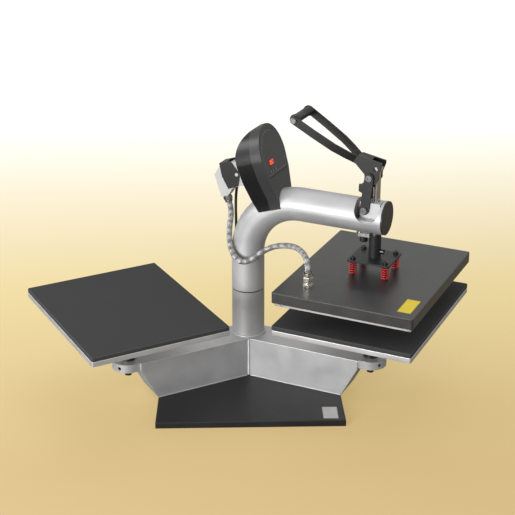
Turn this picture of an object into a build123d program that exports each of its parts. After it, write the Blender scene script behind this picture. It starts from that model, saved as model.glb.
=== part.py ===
from build123d import *
import math
import os

os.makedirs("parts", exist_ok=True)

# Two stations stand left and right of the column, turned forward by the same angle.
STATION_TURN = 26.6
REACH = 387.0
PLATEN_L = 400.0
PLATEN_W = 500.0

# Clearances: a turning or sliding fit, a gap between moving bodies, a seat in one body.
RUNNING_FIT = 0.05
MOVING_GAP = 0.3
SEAT = 0.02

# Floor plate and the two box beams welded on it.
FLOOR_T = 18.5
FLOOR_HALF_W = 265.0
FLOOR_FRONT = 332.0
FLOOR_SETBACK = 60.0
EDGE_BREAK = 1.5
BEAM_W = 100.0
BEAM_TOP = 138.4
BEAM_WALL = 4.0
BEAM_END = REACH - 21.0
BEAM_END_FOOT = BEAM_END - 48.0
BEAM_END_KNEE = 111.0

# Lug at each beam end, and the swivel post of the lower platen in it.
LUG_R = 45.0
LUG_T = 25.0
LUG_Z0 = BEAM_TOP - LUG_T
SWIVEL_R = 15.0
LUG_BORE_R = SWIVEL_R + RUNNING_FIT
SCREW_TURN = 35.3
SCREW_R = 5.0
SCREW_RECESS = 2.0
SOCKET_R = 2.9
POST_COLLAR_R = 22.0
POST_COLLAR_T = 11.0
POST_KEEPER_R = 19.0
POST_KEEPER_T = 12.0
POST_NUT_R = 10.0
POST_FOOT = 88.0
POST_FLANGE_R = 45.0
POST_FLANGE_T = 8.0

# Lower platen: tray and pad.
PAD_TOP = 299.5
PAD_T = 12.0
TRAY_T = 15.0
TRAY_Z0 = PAD_TOP - PAD_T - TRAY_T
CORNER_R = 5.0

# Column and swinging arm, one bent tube.
TUBE_R = 47.3
TUBE_BORE_R = 42.3
POST_TOP = 280.0
WELD_R = 3.5
RING_T = 3.0
RING_R = 46.0
ARM_Z0 = POST_TOP + RING_T + MOVING_GAP
ARM_AXIS = 563.1
BEND_R = 167.0
ARM_END = REACH + 29.0
CAP_T = 4.0
CAP_SPIGOT = 6.0
SHAFT_Z0 = 200.0
SHAFT_Z1 = 390.0
SHAFT_WALL = 8.0

# Toggle: links swing on the arm at C, the lever turns on the links at A, and the plunger
# shaft hangs at B. With C, B and A in one line the press is shut.
C_R = REACH - 26.7
C_Z = ARM_AXIS + 21.7
A_R = C_R + 11.1
A_Z = C_Z + 93.8
B_Z = A_Z + 25.3
LINK_L = math.hypot(A_R - C_R, A_Z - C_Z)
CRANK_L = math.hypot(REACH - A_R, B_Z - A_Z)
B_SHUT = C_Z + math.sqrt((LINK_L - CRANK_L) ** 2 - (REACH - C_R) ** 2)
STROKE = B_Z - B_SHUT
LINK_REST = math.atan2(A_R - C_R, A_Z - C_Z)
LINK_SHUT = math.asin((REACH - C_R) / (LINK_L - CRANK_L))
LINK_SWING = LINK_SHUT - LINK_REST
LEVER_SWING = math.atan2(B_Z - A_Z, REACH - A_R) + math.pi / 2 + LINK_REST

NOTCH_R = 35.0
NOTCH_CR = REACH - 14.5
NOTCH_CZ = ARM_AXIS + 27.9
NOTCH_FLARE = 2.0
BLOCK_R0 = REACH - 41.0
BULKHEAD_R0 = BLOCK_R0 - 16.0
BULKHEAD_T = 6.0
BLOCK_R1 = REACH + 17.0
BLOCK_HALF = 18.0
BLOCK_LEDGE = ARM_AXIS - 2.1
BLOCK_TOP = C_Z + 21.2
PIVOT_R = 6.0
PIVOT_HEAD_R = 9.0
PIVOT_HEAD_T = 4.2
PIVOT_DEPTH = 9.5
EYE_HALF = 10.0
EYE_R = 13.0
FORK_IN = 12.0
FORK_OUT = 18.0
LINK_IN = 19.0
LINK_OUT = 24.0
LINK_HALF_W = 13.0
STOP_R0 = C_R - 17.3
STOP_R1 = STOP_R0 + 10.0
STOP_Z0 = C_Z + 55.2
STOP_Z1 = STOP_Z0 + 12.0
STOP_SCREW_R = 3.0
STOP_SCREW_HEAD = 5.0

# Hand lever. The fork cheeks and the web between them are drawn from the pivot A.
CHEEK_TOP = ((-49.1, 36.6), (-37.9, 55.6), (-32.6, 56.9))
CHEEK_FRONT = ((33.0, 44.3), (33.3, 35.1), (24.2, 11.4), (24.2, -4.6), (16.6, -17.6), (5.6, -23.4))
CHEEK_BACK = ((-5.4, -22.1), (-12.9, -14.6), (-16.0, 7.4))
CHEEK_HEEL = ((-41.4, 33.4),)
WEB_FRONT = ((2.6, 50.1), (-2.9, 34.4), (-11.4, 25.9), (-14.9, 18.4), (-19.4, 10.9))
BAR_ROOT = (A_R - 43.5, A_Z + 46.1)
GRIP_AXIS = (A_R - 208.2, A_Z + 143.5)
BAR_T = 5.5
BAR_H = 22.0
BAR_OUTER = ((0.3, FORK_OUT), (25.6, 30.0), (63.7, 43.0), (126.3, 51.5))
BAR_END_HALF = 57.0
GRIP_R = 15.0
GRIP_BOLT_R = 5.0
GRIP_BOSS_R = 11.0
GRIP_HEAD_T = 4.5

# Plunger group under the arm.
PLUNGER_R = 10.0
SLEEVE_R = 17.0
SLEEVE_TOP = 511.0
PLATE_TOP = 445.0
PLATE_T = 5.0
PLATE_L = 122.0
PLATE_W = 110.0
BOLT_SPAN_R = 94.0
BOLT_SPAN_W = 84.0
BOLT_R = 4.0
BOLT_HEAD_R = 7.0
BOLT_HEAD_T = 7.6
SPRING_MEAN_R = 9.4
SPRING_WIRE_R = 1.6
SPRING_PITCH = 6.8
GUIDE_T = 10.0
GUIDE_Z0 = SLEEVE_TOP - GUIDE_T
GUIDE_HALF_W = 9.0
GUIDE_PIN_R = 4.0
GUIDE_PIN_AT = REACH - 46.0
GUIDE_PIN_TOP = ARM_AXIS + 20.9
GUIDE_NUT_AT = REACH - 33.5
GUIDE_NUT_R = 11.5
GUIDE_NUT_T = 16.0
CLAMP_Z = 463.0
CLAMP_R = 5.0
CLAMP_OUT = REACH + SLEEVE_R + 10.0

# Heat platen.
HEAT_TOP = 400.0
HEAT_LIP = 369.0
SHUT_GAP = 0.37
HEAT_FACE = PAD_TOP + STROKE + SHUT_GAP
HEAT_PLATE_TOP = 380.0
HEAT_INSET = 6.0
CASING_WALL = 2.0
FITTING_AT = (REACH - PLATEN_L / 2 + 74.0, PLATEN_W / 2 - 79.0)
FITTING_TOP = 440.0
FITTING_R = 12.5
FITTING_HEX_R = 15.0
FITTING_HEX_T = 7.0
FITTING_SPIGOT_R = 9.9
FITTING_FOOT = 388.0
HOSE_R = 8.0
HOSE_END = 418.0
HOSE_PLAY = 0.4
HOSE_FIRST_RUN = 30.0

# Control box, drawn on its tilted face: across, up the face, and back from it.
BOX_TILT = 18.0
BOX_R = 110.0
BOX_Z = ARM_AXIS + 36.9
FACE_MID = 100.0
FACE_HALF_W = 76.0
FACE_HALF_H = 92.0
FACE_LOW = ((70.0, 50.0), (58.0, 14.0), (50.0, -10.0), (49.5, -43.0))
BOX_DEEP = 80.0
BOX_ROUND_AT = 112.0
BOX_WALL = 3.0
BAND_BACK = 31.6
PANEL_HALF_W = 66.0
PANEL_HALF_H = 76.0
PANEL_LOW = (57.0, 53.0)
PANEL_RECESS = 1.5
PANEL_T = 1.2
FACE_GROOVE_AT = 51.0
DISPLAY = (35.0, 20.0)
DISPLAY_AT = (-24.5, 87.0)
DISPLAY_T = 2.5
BUTTONS = {"button_left": (-42.8, 66.4), "button_middle": (-27.5, 64.9), "button_right": (-11.4, 63.6)}
BUTTON_R = 4.5
BUTTON_OUT = 1.3
BUTTON_FLANGE_R = 6.0
BUTTON_STEM = 7.5
BUTTON_TRAVEL = 1.2
BOARD_AT = (-16.0, 82.0)
BOARD_SIZE = (92.0, 58.0)
BOARD_Z = 13.0
BOARD_T = 1.6

# Connector on the back of the box and its latch.
PLUG_OFF = 15.0
PLUG_HALF = 17.0
PLUG_S = (37.0, 108.0)
PLUG_BACK = 128.0
HOOD_HALF = 15.0
HOOD_FRONT = 129.5
HOOD_BACK = 184.0
LATCH_PIVOT = (-112.0, 72.0)
LATCH_PIN_R = 5.0
LATCH_T = 2.5
LATCH_REST = ((7.0, -8.0), (7.0, 8.0), (-8.0, 42.0), (-43.5, 42.0), (-47.5, 4.0), (-39.0, -36.0), (-6.0, -33.0))
GLAND_D = 172.0
GLAND_S = (-4.0, 16.0)
GLAND_R = 13.0

# Mains lead.
LEAD_R = 4.0
LEAD_OFF = -26.0
LEAD_S = 50.0
LEAD_GLAND = 22.0
COIL_AT = (0.0, 165.0)
COIL_R = 45.0
COIL_RISE = 7.2
COIL_SHIFT = 0.4
COIL_TAIL = 30.0
PLUG_TAIL = 40.0
LEAD_FIRST_RUN = 40.0
LEAD_LAST_RUN = 46.0
FLOOR_PLAY = 0.2
PLUG_BODY = (27.0, 34.0, 22.4)
PLUG_PIN_L = 17.0


def radial(side):
    """Unit vector from the column toward a station, side 1 right and -1 left."""
    turn = math.radians(STATION_TURN)
    return Vector(side * math.cos(turn), -math.sin(turn), 0)


def forward(side):
    """Unit vector square to the beam, on its viewer's side."""
    turn = math.radians(STATION_TURN)
    return Vector(-side * math.sin(turn), -math.cos(turn), 0)


def deck(height, side=1):
    """Level plane with x out along the beam."""
    return Plane(origin=(0, 0, height), x_dir=radial(side), z_dir=(0, 0, 1))


def profile(side=1, off=0.0):
    """Upright plane through the beam, x out along it and y up, shifted forward by off."""
    return Plane(origin=forward(side) * off, x_dir=radial(side), z_dir=forward(side) * side)


def place(reach, off, height, side=1):
    """World point from station coordinates."""
    return radial(side) * reach + forward(side) * off + Vector(0, 0, height)


def box_axes():
    """Outward normal and up direction of the control box face."""
    tilt = math.radians(BOX_TILT)
    normal = radial(1) * math.cos(tilt) + Vector(0, 0, math.sin(tilt))
    up = radial(1) * -math.sin(tilt) + Vector(0, 0, math.cos(tilt))
    return normal, up


BOX_NORMAL, BOX_UP = box_axes()
BOX_ORIGIN = place(BOX_R, 0, BOX_Z)


def face_plane(depth=0.0):
    """Plane of the control box face, depth behind it, x across and y up the face."""
    return Plane(origin=BOX_ORIGIN - BOX_NORMAL * depth, x_dir=forward(1) * -1, z_dir=BOX_NORMAL)


def box_side(off=0.0):
    """Upright plane along the box, x along the face normal and y up the face."""
    return Plane(origin=BOX_ORIGIN + forward(1) * off, x_dir=BOX_NORMAL, z_dir=forward(1))


def box_point(off, up, depth):
    """World point from control box coordinates."""
    return BOX_ORIGIN + forward(1) * off + BOX_UP * up - BOX_NORMAL * depth


def bend_radii(points, share=0.45):
    """Arc radius at each inner corner of a cord route, from its shorter run and its turn."""
    radii = []
    for before, here, after in zip(points, points[1:], points[2:]):
        run_in = Vector(*here) - Vector(*before)
        run_out = Vector(*after) - Vector(*here)
        turn = math.radians(run_in.get_angle(run_out))
        radii.append(share * min(run_in.length, run_out.length) / math.tan(turn / 2))
    return radii


def make_tube(points, radius, name):
    """Sweep a round cord along straight runs and tangent arcs."""
    radii = bend_radii(points)
    with BuildPart() as cord:
        with BuildLine() as route:
            FilletPolyline(*points, radius=radii)
        with BuildSketch(Plane(origin=route.line @ 0, z_dir=route.line % 0)):
            Circle(radius)
        sweep(path=route.line)
    length = sum(edge.length for edge in route.edges())
    section = math.pi * radius**2
    print(name, "length", round(length, 1), "radii", [round(value, 1) for value in radii])
    print(name, "volume ratio", round(cord.part.volume / (section * length), 4))
    return cord


# Base.
with BuildPart() as floor_plate:
    knee_front = place(BEAM_END_FOOT, BEAM_W / 2, 0)
    knee_back = place(BEAM_END_FOOT - FLOOR_SETBACK, -BEAM_W / 2, 0)
    rear = BEAM_W / 2 / math.cos(math.radians(STATION_TURN))
    right_half = [
        (FLOOR_HALF_W, -FLOOR_FRONT),
        (knee_front.X, knee_front.Y),
        (knee_back.X, knee_back.Y),
    ]
    left_half = [(-x, y) for x, y in reversed(right_half)]
    with BuildSketch(Plane.XY):
        with BuildLine():
            Polyline(*right_half, (0, rear), *left_half, close=True)
        make_face()
    extrude(amount=FLOOR_T)
    top_edges = floor_plate.edges().group_by(Axis.Z)[-1]
    chamfer(top_edges.filter_by(lambda edge: edge.center().Y < knee_front.Y), EDGE_BREAK)


def beam_end(inset):
    """End profile of a beam, moved in by inset on every side."""
    lean = math.atan2(BEAM_END_KNEE - FLOOR_T, BEAM_END - BEAM_END_FOOT)
    foot = BEAM_END_FOOT - inset / math.sin(lean) + inset / math.tan(lean)
    end = BEAM_END - inset
    low = FLOOR_T + inset
    knee = low + (end - foot) * math.tan(lean)
    return [(-BEAM_W, low), (foot, low), (end, knee), (end, BEAM_TOP - inset), (-BEAM_W, BEAM_TOP - inset)]


def make_beam(side):
    """Box beam from the column mitre to its closed, bevelled end."""
    with BuildPart() as beam:
        with BuildSketch(profile(side)):
            with BuildLine():
                Polyline(*beam_end(0), close=True)
            make_face()
        extrude(amount=BEAM_W / 2, both=True)
        with BuildSketch(profile(side)):
            with BuildLine():
                Polyline(*beam_end(BEAM_WALL), close=True)
            make_face()
        extrude(amount=BEAM_W / 2 - BEAM_WALL, both=True, mode=Mode.SUBTRACT)
        split(bisect_by=Plane.YZ, keep=Keep.TOP if side > 0 else Keep.BOTTOM)
    return beam


def screw_plane(side, out):
    """Plane across a lug's set screw, out from the swivel axis."""
    turn = math.radians(SCREW_TURN)
    direction = radial(side) * math.cos(turn) + forward(side) * math.sin(turn)
    centre = place(REACH, 0, LUG_Z0 + LUG_T / 2, side)
    return Plane(origin=centre + direction * out, z_dir=direction)


def make_lug(side):
    """Bored lug welded to the beam end."""
    with BuildPart() as lug:
        with BuildSketch(deck(LUG_Z0, side)):
            with Locations((REACH, 0)):
                Circle(LUG_R)
            with Locations((BEAM_END, 0)):
                Rectangle(REACH - BEAM_END, 2 * LUG_R, align=(Align.MIN, Align.CENTER))
                Rectangle(LUG_R, 3 * LUG_R, align=(Align.MAX, Align.CENTER), mode=Mode.SUBTRACT)
            with Locations((REACH, 0)):
                Circle(LUG_BORE_R, mode=Mode.SUBTRACT)
        extrude(amount=LUG_T)
        with BuildSketch(screw_plane(side, SWIVEL_R)):
            Circle(SCREW_R + SEAT)
        extrude(amount=LUG_R, mode=Mode.SUBTRACT)
    return lug


def make_swivel_post(side):
    """Turned post under the lower platen, with its collar above the lug and keeper below."""
    levels = [
        (POST_FOOT, LUG_Z0 - MOVING_GAP - POST_KEEPER_T, POST_NUT_R),
        (LUG_Z0 - MOVING_GAP - POST_KEEPER_T, LUG_Z0 - MOVING_GAP, POST_KEEPER_R),
        (LUG_Z0 - MOVING_GAP, BEAM_TOP + MOVING_GAP, SWIVEL_R),
        (BEAM_TOP + MOVING_GAP, BEAM_TOP + MOVING_GAP + POST_COLLAR_T, POST_COLLAR_R),
        (BEAM_TOP + MOVING_GAP + POST_COLLAR_T, TRAY_Z0 - POST_FLANGE_T, SWIVEL_R),
        (TRAY_Z0 - POST_FLANGE_T, TRAY_Z0, POST_FLANGE_R),
    ]
    with BuildPart() as post:
        for low, high, radius in levels:
            with BuildSketch(deck(low, side)):
                with Locations((REACH, 0)):
                    Circle(radius)
            extrude(amount=high - low)
    return post


def make_slab(side, low, thick, half_inset=0.0, corner=CORNER_R):
    """Level rectangular slab centred over the swivel axis."""
    with BuildPart() as slab:
        with BuildSketch(deck(low, side)):
            with Locations((REACH, 0)):
                RectangleRounded(PLATEN_L - 2 * half_inset, PLATEN_W - 2 * half_inset, corner)
        extrude(amount=thick)
    return slab


beam_right = make_beam(1)
beam_left = make_beam(-1)
lug_right = make_lug(1)
lug_left = make_lug(-1)
swivel_post_right = make_swivel_post(1)
swivel_post_left = make_swivel_post(-1)
tray_right = make_slab(1, TRAY_Z0, TRAY_T)
tray_left = make_slab(-1, TRAY_Z0, TRAY_T)
pad_right = make_slab(1, PAD_TOP - PAD_T, PAD_T)
pad_left = make_slab(-1, PAD_TOP - PAD_T, PAD_T)

with BuildPart() as lug_set_screws:
    for side in (1, -1):
        screw_in = SWIVEL_R + MOVING_GAP
        screw_len = LUG_R - SCREW_RECESS - screw_in
        with BuildSketch(screw_plane(side, screw_in)):
            Circle(SCREW_R)
        extrude(amount=screw_len)
        with BuildSketch(screw_plane(side, LUG_R - SCREW_RECESS)):
            RegularPolygon(SOCKET_R, 6)
        extrude(amount=-SCREW_R, mode=Mode.SUBTRACT)

with BuildPart() as column_post:
    with BuildSketch(deck(BEAM_TOP)):
        Circle(TUBE_R)
    extrude(amount=POST_TOP - BEAM_TOP)
    with Locations((0, 0, BEAM_TOP + WELD_R / 2)):
        Torus(TUBE_R + WELD_R / 3, WELD_R)
    split(bisect_by=Plane.XY.offset(BEAM_TOP), keep=Keep.TOP)
    with BuildSketch(deck(BEAM_TOP)):
        Circle(TUBE_BORE_R)
    extrude(amount=POST_TOP - BEAM_TOP, mode=Mode.SUBTRACT)

with BuildPart() as pivot_shaft:
    with BuildSketch(deck(SHAFT_Z0)):
        Circle(TUBE_BORE_R - RUNNING_FIT)
        Circle(TUBE_BORE_R - SHAFT_WALL, mode=Mode.SUBTRACT)
    extrude(amount=SHAFT_Z1 - SHAFT_Z0)
    chamfer(pivot_shaft.edges().group_by(Axis.Z)[-1], EDGE_BREAK)

with BuildPart() as thrust_ring:
    with BuildSketch(deck(POST_TOP)):
        Circle(RING_R)
        Circle(TUBE_BORE_R + MOVING_GAP, mode=Mode.SUBTRACT)
    extrude(amount=RING_T)


# Swinging arm.
def arm_cross(out):
    """Plane across the level arm, x toward the rear and y up."""
    return Plane(origin=place(out, 0, ARM_AXIS), x_dir=forward(1) * -1, z_dir=radial(1))


def sweep_arm(outer, inner=0.0, start=ARM_Z0):
    """Bent arm tube, or the solid envelope round it."""
    with BuildPart() as bent:
        with BuildLine(profile()) as route:
            rise = Line((0, start), (0, ARM_AXIS - BEND_R))
            bend = JernArc(rise @ 1, rise % 1, BEND_R, -90)
            Line(bend @ 1, (ARM_END, ARM_AXIS))
        with BuildSketch(deck(start)):
            Circle(outer)
            if inner > 0:
                Circle(inner, mode=Mode.SUBTRACT)
        sweep(path=route.line)
    return bent


bent_tube = sweep_arm(TUBE_R, TUBE_BORE_R)
saddle_clear = sweep_arm(TUBE_R + SEAT * 5)
saddle_wall = sweep_arm(TUBE_R + BOX_WALL)

with BuildPart() as arm_tube:
    add(bent_tube.part)
    with BuildSketch(profile()):
        with Locations((NOTCH_CR, NOTCH_CZ)):
            Circle(NOTCH_R)
        with BuildLine():
            Polyline(
                (NOTCH_CR - NOTCH_R, NOTCH_CZ),
                (NOTCH_CR + NOTCH_R, NOTCH_CZ),
                (NOTCH_CR + NOTCH_R + NOTCH_FLARE, NOTCH_CZ + NOTCH_R),
                (NOTCH_CR - NOTCH_R - NOTCH_FLARE, NOTCH_CZ + NOTCH_R),
                close=True,
            )
        make_face()
    extrude(amount=TUBE_R + 1, both=True, mode=Mode.SUBTRACT)
    with BuildSketch(deck(ARM_AXIS - TUBE_R - 1)):
        with Locations((REACH, 0)):
            Circle(PLUNGER_R + 2)
        with Locations((GUIDE_PIN_AT, 0)):
            Circle(GUIDE_PIN_R + MOVING_GAP)
    extrude(amount=TUBE_R / 2, mode=Mode.SUBTRACT)
    with BuildSketch(arm_cross(BULKHEAD_R0)):
        Circle((TUBE_R + TUBE_BORE_R) / 2)
    extrude(amount=BULKHEAD_T)


with BuildPart() as arm_end_cap:
    with BuildSketch(arm_cross(ARM_END)):
        Circle(TUBE_R)
    extrude(amount=CAP_T)
    chamfer(arm_end_cap.edges().filter_by(GeomType.CIRCLE).sort_by(SortBy.DISTANCE)[:1], 1)
    with BuildSketch(arm_cross(ARM_END)):
        Circle(TUBE_BORE_R - SEAT)
    extrude(amount=-CAP_SPIGOT)

with BuildPart() as guide_block:
    with BuildSketch(arm_cross(BLOCK_R0)):
        Circle(TUBE_BORE_R - SEAT)
        with Locations((0, BLOCK_LEDGE - ARM_AXIS)):
            Rectangle(2 * TUBE_R, 2 * TUBE_R, align=(Align.CENTER, Align.MIN), mode=Mode.SUBTRACT)
            Rectangle(2 * BLOCK_HALF, BLOCK_TOP - BLOCK_LEDGE, align=(Align.CENTER, Align.MIN))
    extrude(amount=BLOCK_R1 - BLOCK_R0)
    with BuildSketch(deck(ARM_AXIS - TUBE_R)):
        with Locations((REACH, 0)):
            Circle(PLUNGER_R + RUNNING_FIT)
    extrude(amount=2 * TUBE_R, mode=Mode.SUBTRACT)
    for side in (1, -1):
        with BuildSketch(profile(off=side * BLOCK_HALF)):
            with Locations((C_R, C_Z)):
                Circle(PIVOT_R)
        extrude(amount=-side * PIVOT_DEPTH, mode=Mode.SUBTRACT)


def make_pivot_bolts(at, inner, outer, shank):
    """Pair of shoulder bolts with socket heads, one on each side of the arm's middle plane."""
    with BuildPart() as bolts:
        for side in (1, -1):
            with BuildSketch(profile(off=side * inner)):
                with Locations(at):
                    Circle(shank)
            extrude(amount=side * (outer - inner))
            with BuildSketch(profile(off=side * outer)):
                with Locations(at):
                    Circle(PIVOT_HEAD_R)
            extrude(amount=side * PIVOT_HEAD_T)
            with BuildSketch(profile(off=side * (outer + PIVOT_HEAD_T))):
                with Locations(at):
                    RegularPolygon(SOCKET_R + 1, 6)
            extrude(amount=-side * PIVOT_HEAD_T / 2, mode=Mode.SUBTRACT)
    return bolts


link_pivot_bolts = make_pivot_bolts(
    (C_R, C_Z), BLOCK_HALF - PIVOT_DEPTH + 1, LINK_OUT + MOVING_GAP, PIVOT_R - RUNNING_FIT
)
link_top_bolts = make_pivot_bolts((A_R, A_Z), FORK_IN + MOVING_GAP, LINK_OUT, PIVOT_R - RUNNING_FIT)


def make_link(side):
    """One swinging link plate with the tab that carries the stop block."""
    with BuildPart() as link:
        with BuildSketch(profile(off=side * LINK_IN)):
            middle = ((C_R + A_R) / 2, (C_Z + A_Z) / 2, 0)
            with Locations(Location(middle, (0, 0, 90 - math.degrees(LINK_REST)))):
                SlotCenterToCenter(LINK_L, 2 * LINK_HALF_W)
            with BuildLine():
                Polyline(
                    (STOP_R0, STOP_Z0 - 2),
                    (C_R, STOP_Z0 - 10),
                    (C_R + 6, STOP_Z1 + 10),
                    (STOP_R0, STOP_Z1 + 2),
                    close=True,
                )
            make_face()
            with Locations((C_R, C_Z), (A_R, A_Z)):
                Circle(PIVOT_R, mode=Mode.SUBTRACT)
        extrude(amount=side * (LINK_OUT - LINK_IN))
    return link


link_front = make_link(1)
link_back = make_link(-1)

with BuildPart() as stop_block:
    with BuildSketch(profile()):
        with Locations(((STOP_R0 + STOP_R1) / 2, (STOP_Z0 + STOP_Z1) / 2)):
            Rectangle(STOP_R1 - STOP_R0, STOP_Z1 - STOP_Z0)
    extrude(amount=LINK_IN, both=True)
    with BuildSketch(Plane(origin=place(STOP_R0, 0, (STOP_Z0 + STOP_Z1) / 2), z_dir=radial(1))):
        Circle(STOP_SCREW_R)
    extrude(amount=STOP_R1 - STOP_R0, mode=Mode.SUBTRACT)

with BuildPart() as stop_screw:
    with BuildSketch(Plane(origin=place(STOP_R1, 0, (STOP_Z0 + STOP_Z1) / 2), z_dir=radial(1))):
        Circle(STOP_SCREW_R - SEAT)
    extrude(amount=STOP_R0 - STOP_R1 - 2)
    with BuildSketch(Plane(origin=place(STOP_R0 - 2, 0, (STOP_Z0 + STOP_Z1) / 2), z_dir=radial(1))):
        RegularPolygon(STOP_SCREW_HEAD, 6)
    extrude(amount=-STOP_SCREW_HEAD)


# Hand lever.
with BuildPart() as lever_clevis:
    cheek = [(A_R + x, A_Z + y) for x, y in CHEEK_TOP + CHEEK_FRONT + CHEEK_BACK + CHEEK_HEEL]
    web = [(A_R + x, A_Z + y) for x, y in CHEEK_TOP + WEB_FRONT + CHEEK_HEEL]
    for side in (1, -1):
        with BuildSketch(profile(off=side * FORK_IN)):
            with BuildLine():
                Polyline(*cheek, close=True)
            make_face()
            with Locations((A_R, A_Z), (REACH, B_Z)):
                Circle(PIVOT_R, mode=Mode.SUBTRACT)
        extrude(amount=side * (FORK_OUT - FORK_IN))
    with BuildSketch(profile()):
        with BuildLine():
            Polyline(*web, close=True)
        make_face()
    extrude(amount=FORK_IN, both=True)

BAR_SLOPE = math.atan2(GRIP_AXIS[1] - BAR_ROOT[1], BAR_ROOT[0] - GRIP_AXIS[0])
BAR_LENGTH = math.hypot(GRIP_AXIS[1] - BAR_ROOT[1], BAR_ROOT[0] - GRIP_AXIS[0])
BAR_SPLAY = (BAR_END_HALF - BAR_OUTER[-1][1]) / (BAR_LENGTH - BAR_OUTER[-1][0])
GRIP_HALF = BAR_END_HALF - BAR_T - GRIP_R * BAR_SPLAY - MOVING_GAP
BAR_AXIS = radial(1) * -math.cos(BAR_SLOPE) + Vector(0, 0, math.sin(BAR_SLOPE))
BAR_NORMAL = radial(1) * math.sin(BAR_SLOPE) + Vector(0, 0, math.cos(BAR_SLOPE))


def make_bar(side):
    """Flat bar bent outward from the fork to the end of the grip."""
    outer = [*BAR_OUTER, (BAR_LENGTH, BAR_END_HALF)]
    inner = [(along, half - BAR_T) for along, half in outer]
    outline = [(along, side * half) for along, half in [*outer, *reversed(inner)]]
    root = place(BAR_ROOT[0], 0, BAR_ROOT[1])
    with BuildPart() as bar:
        with BuildSketch(Plane(origin=root, x_dir=BAR_AXIS, z_dir=BAR_NORMAL)):
            with BuildLine():
                Polyline(*outline, close=True)
            make_face()
        extrude(amount=BAR_H / 2, both=True)
        with BuildSketch(profile(off=side * (BAR_END_HALF - BAR_T))):
            with Locations(GRIP_AXIS):
                Circle(GRIP_BOSS_R)
        extrude(amount=side * BAR_T)
        with BuildSketch(profile(off=side * (BAR_END_HALF - 2 * BAR_T))):
            with Locations(GRIP_AXIS):
                Circle(GRIP_BOSS_R + MOVING_GAP)
        extrude(amount=side * BAR_T, mode=Mode.SUBTRACT)
        with BuildSketch(profile(off=side * BAR_END_HALF)):
            with Locations(GRIP_AXIS):
                Circle(GRIP_BOLT_R)
        extrude(amount=-side * BAR_T, mode=Mode.SUBTRACT)
    return bar


lever_bar_front = make_bar(1)
lever_bar_back = make_bar(-1)

with BuildPart() as grip_bolt:
    with BuildSketch(profile()):
        with Locations(GRIP_AXIS):
            Circle(GRIP_BOLT_R - SEAT)
    extrude(amount=BAR_END_HALF + SEAT, both=True)
    for side in (1, -1):
        with BuildSketch(profile(off=side * (BAR_END_HALF + SEAT))):
            with Locations(GRIP_AXIS):
                RegularPolygon(GRIP_BOSS_R - 2, 6)
        extrude(amount=side * GRIP_HEAD_T)

with BuildPart() as hand_grip:
    with BuildSketch(profile()):
        with Locations(GRIP_AXIS):
            Circle(GRIP_R)
            Circle(GRIP_BOLT_R + RUNNING_FIT, mode=Mode.SUBTRACT)
    extrude(amount=GRIP_HALF, both=True)
    rims = hand_grip.edges().filter_by(GeomType.CIRCLE).group_by(SortBy.RADIUS)[-1]
    fillet(rims, 3)


# Plunger group, sliding upright through the guide block.
def bolt_grid(height):
    """Plane of the four press bolts, centred on the plunger."""
    return Plane(origin=place(REACH, 0, height), x_dir=radial(1), z_dir=(0, 0, 1))


with BuildPart() as plunger_shaft:
    with BuildSketch(bolt_grid(PLATE_TOP - PLATE_T)):
        Circle(PLUNGER_R)
    extrude(amount=B_Z - EYE_R / 2 - PLATE_TOP + PLATE_T)
    with BuildSketch(profile()):
        with Locations((REACH, B_Z)):
            Circle(EYE_R)
    extrude(amount=EYE_HALF, both=True)
    with BuildSketch(profile()):
        with Locations((REACH, B_Z)):
            Circle(PIVOT_R)
    extrude(amount=EYE_HALF + 1, both=True, mode=Mode.SUBTRACT)

with BuildPart() as toggle_pin:
    with BuildSketch(profile()):
        with Locations((REACH, B_Z)):
            Circle(PIVOT_R - SEAT)
    extrude(amount=FORK_IN - 2 * MOVING_GAP, both=True)

with BuildPart() as plunger_sleeve:
    with BuildSketch(bolt_grid(PLATE_TOP)):
        Circle(SLEEVE_R)
        Circle(PLUNGER_R + SEAT, mode=Mode.SUBTRACT)
    extrude(amount=SLEEVE_TOP - PLATE_TOP)
    chamfer(plunger_sleeve.edges().group_by(Axis.Z)[-1].sort_by(SortBy.RADIUS)[-1:], EDGE_BREAK)
    with BuildSketch(Plane(origin=place(REACH, 0, CLAMP_Z), z_dir=radial(1))):
        Circle(CLAMP_R)
    extrude(amount=2 * SLEEVE_R, mode=Mode.SUBTRACT)

with BuildPart() as clamp_screw:
    with BuildSketch(Plane(origin=place(REACH + PLUNGER_R + SEAT, 0, CLAMP_Z), z_dir=radial(1))):
        Circle(CLAMP_R - SEAT)
    extrude(amount=CLAMP_OUT - REACH - PLUNGER_R)
    with BuildSketch(Plane(origin=place(REACH + SLEEVE_R + 1, 0, CLAMP_Z), z_dir=radial(1))):
        Circle(CLAMP_R + 2)
    extrude(amount=CLAMP_OUT - REACH - SLEEVE_R - 1)

with BuildPart() as spring_plate:
    with BuildSketch(bolt_grid(PLATE_TOP - PLATE_T)):
        RectangleRounded(PLATE_L, PLATE_W, CORNER_R)
        Circle(PLUNGER_R + SEAT, mode=Mode.SUBTRACT)
        with GridLocations(BOLT_SPAN_R, BOLT_SPAN_W, 2, 2):
            Circle(BOLT_R + MOVING_GAP, mode=Mode.SUBTRACT)
    extrude(amount=PLATE_T)

with BuildPart() as press_springs:
    spring_low = HEAT_TOP + SPRING_WIRE_R + MOVING_GAP
    spring_high = PLATE_TOP - PLATE_T - SPRING_WIRE_R - SEAT
    for x in (-BOLT_SPAN_R / 2, BOLT_SPAN_R / 2):
        for y in (-BOLT_SPAN_W / 2, BOLT_SPAN_W / 2):
            foot = place(REACH + x, y, spring_low)
            with BuildLine() as turns:
                Helix(SPRING_PITCH, spring_high - spring_low, SPRING_MEAN_R, center=foot)
            wire = turns.line
            with BuildSketch(Plane(origin=wire @ 0, z_dir=wire % 0)):
                Circle(SPRING_WIRE_R)
            sweep(path=wire, is_frenet=True)

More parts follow.
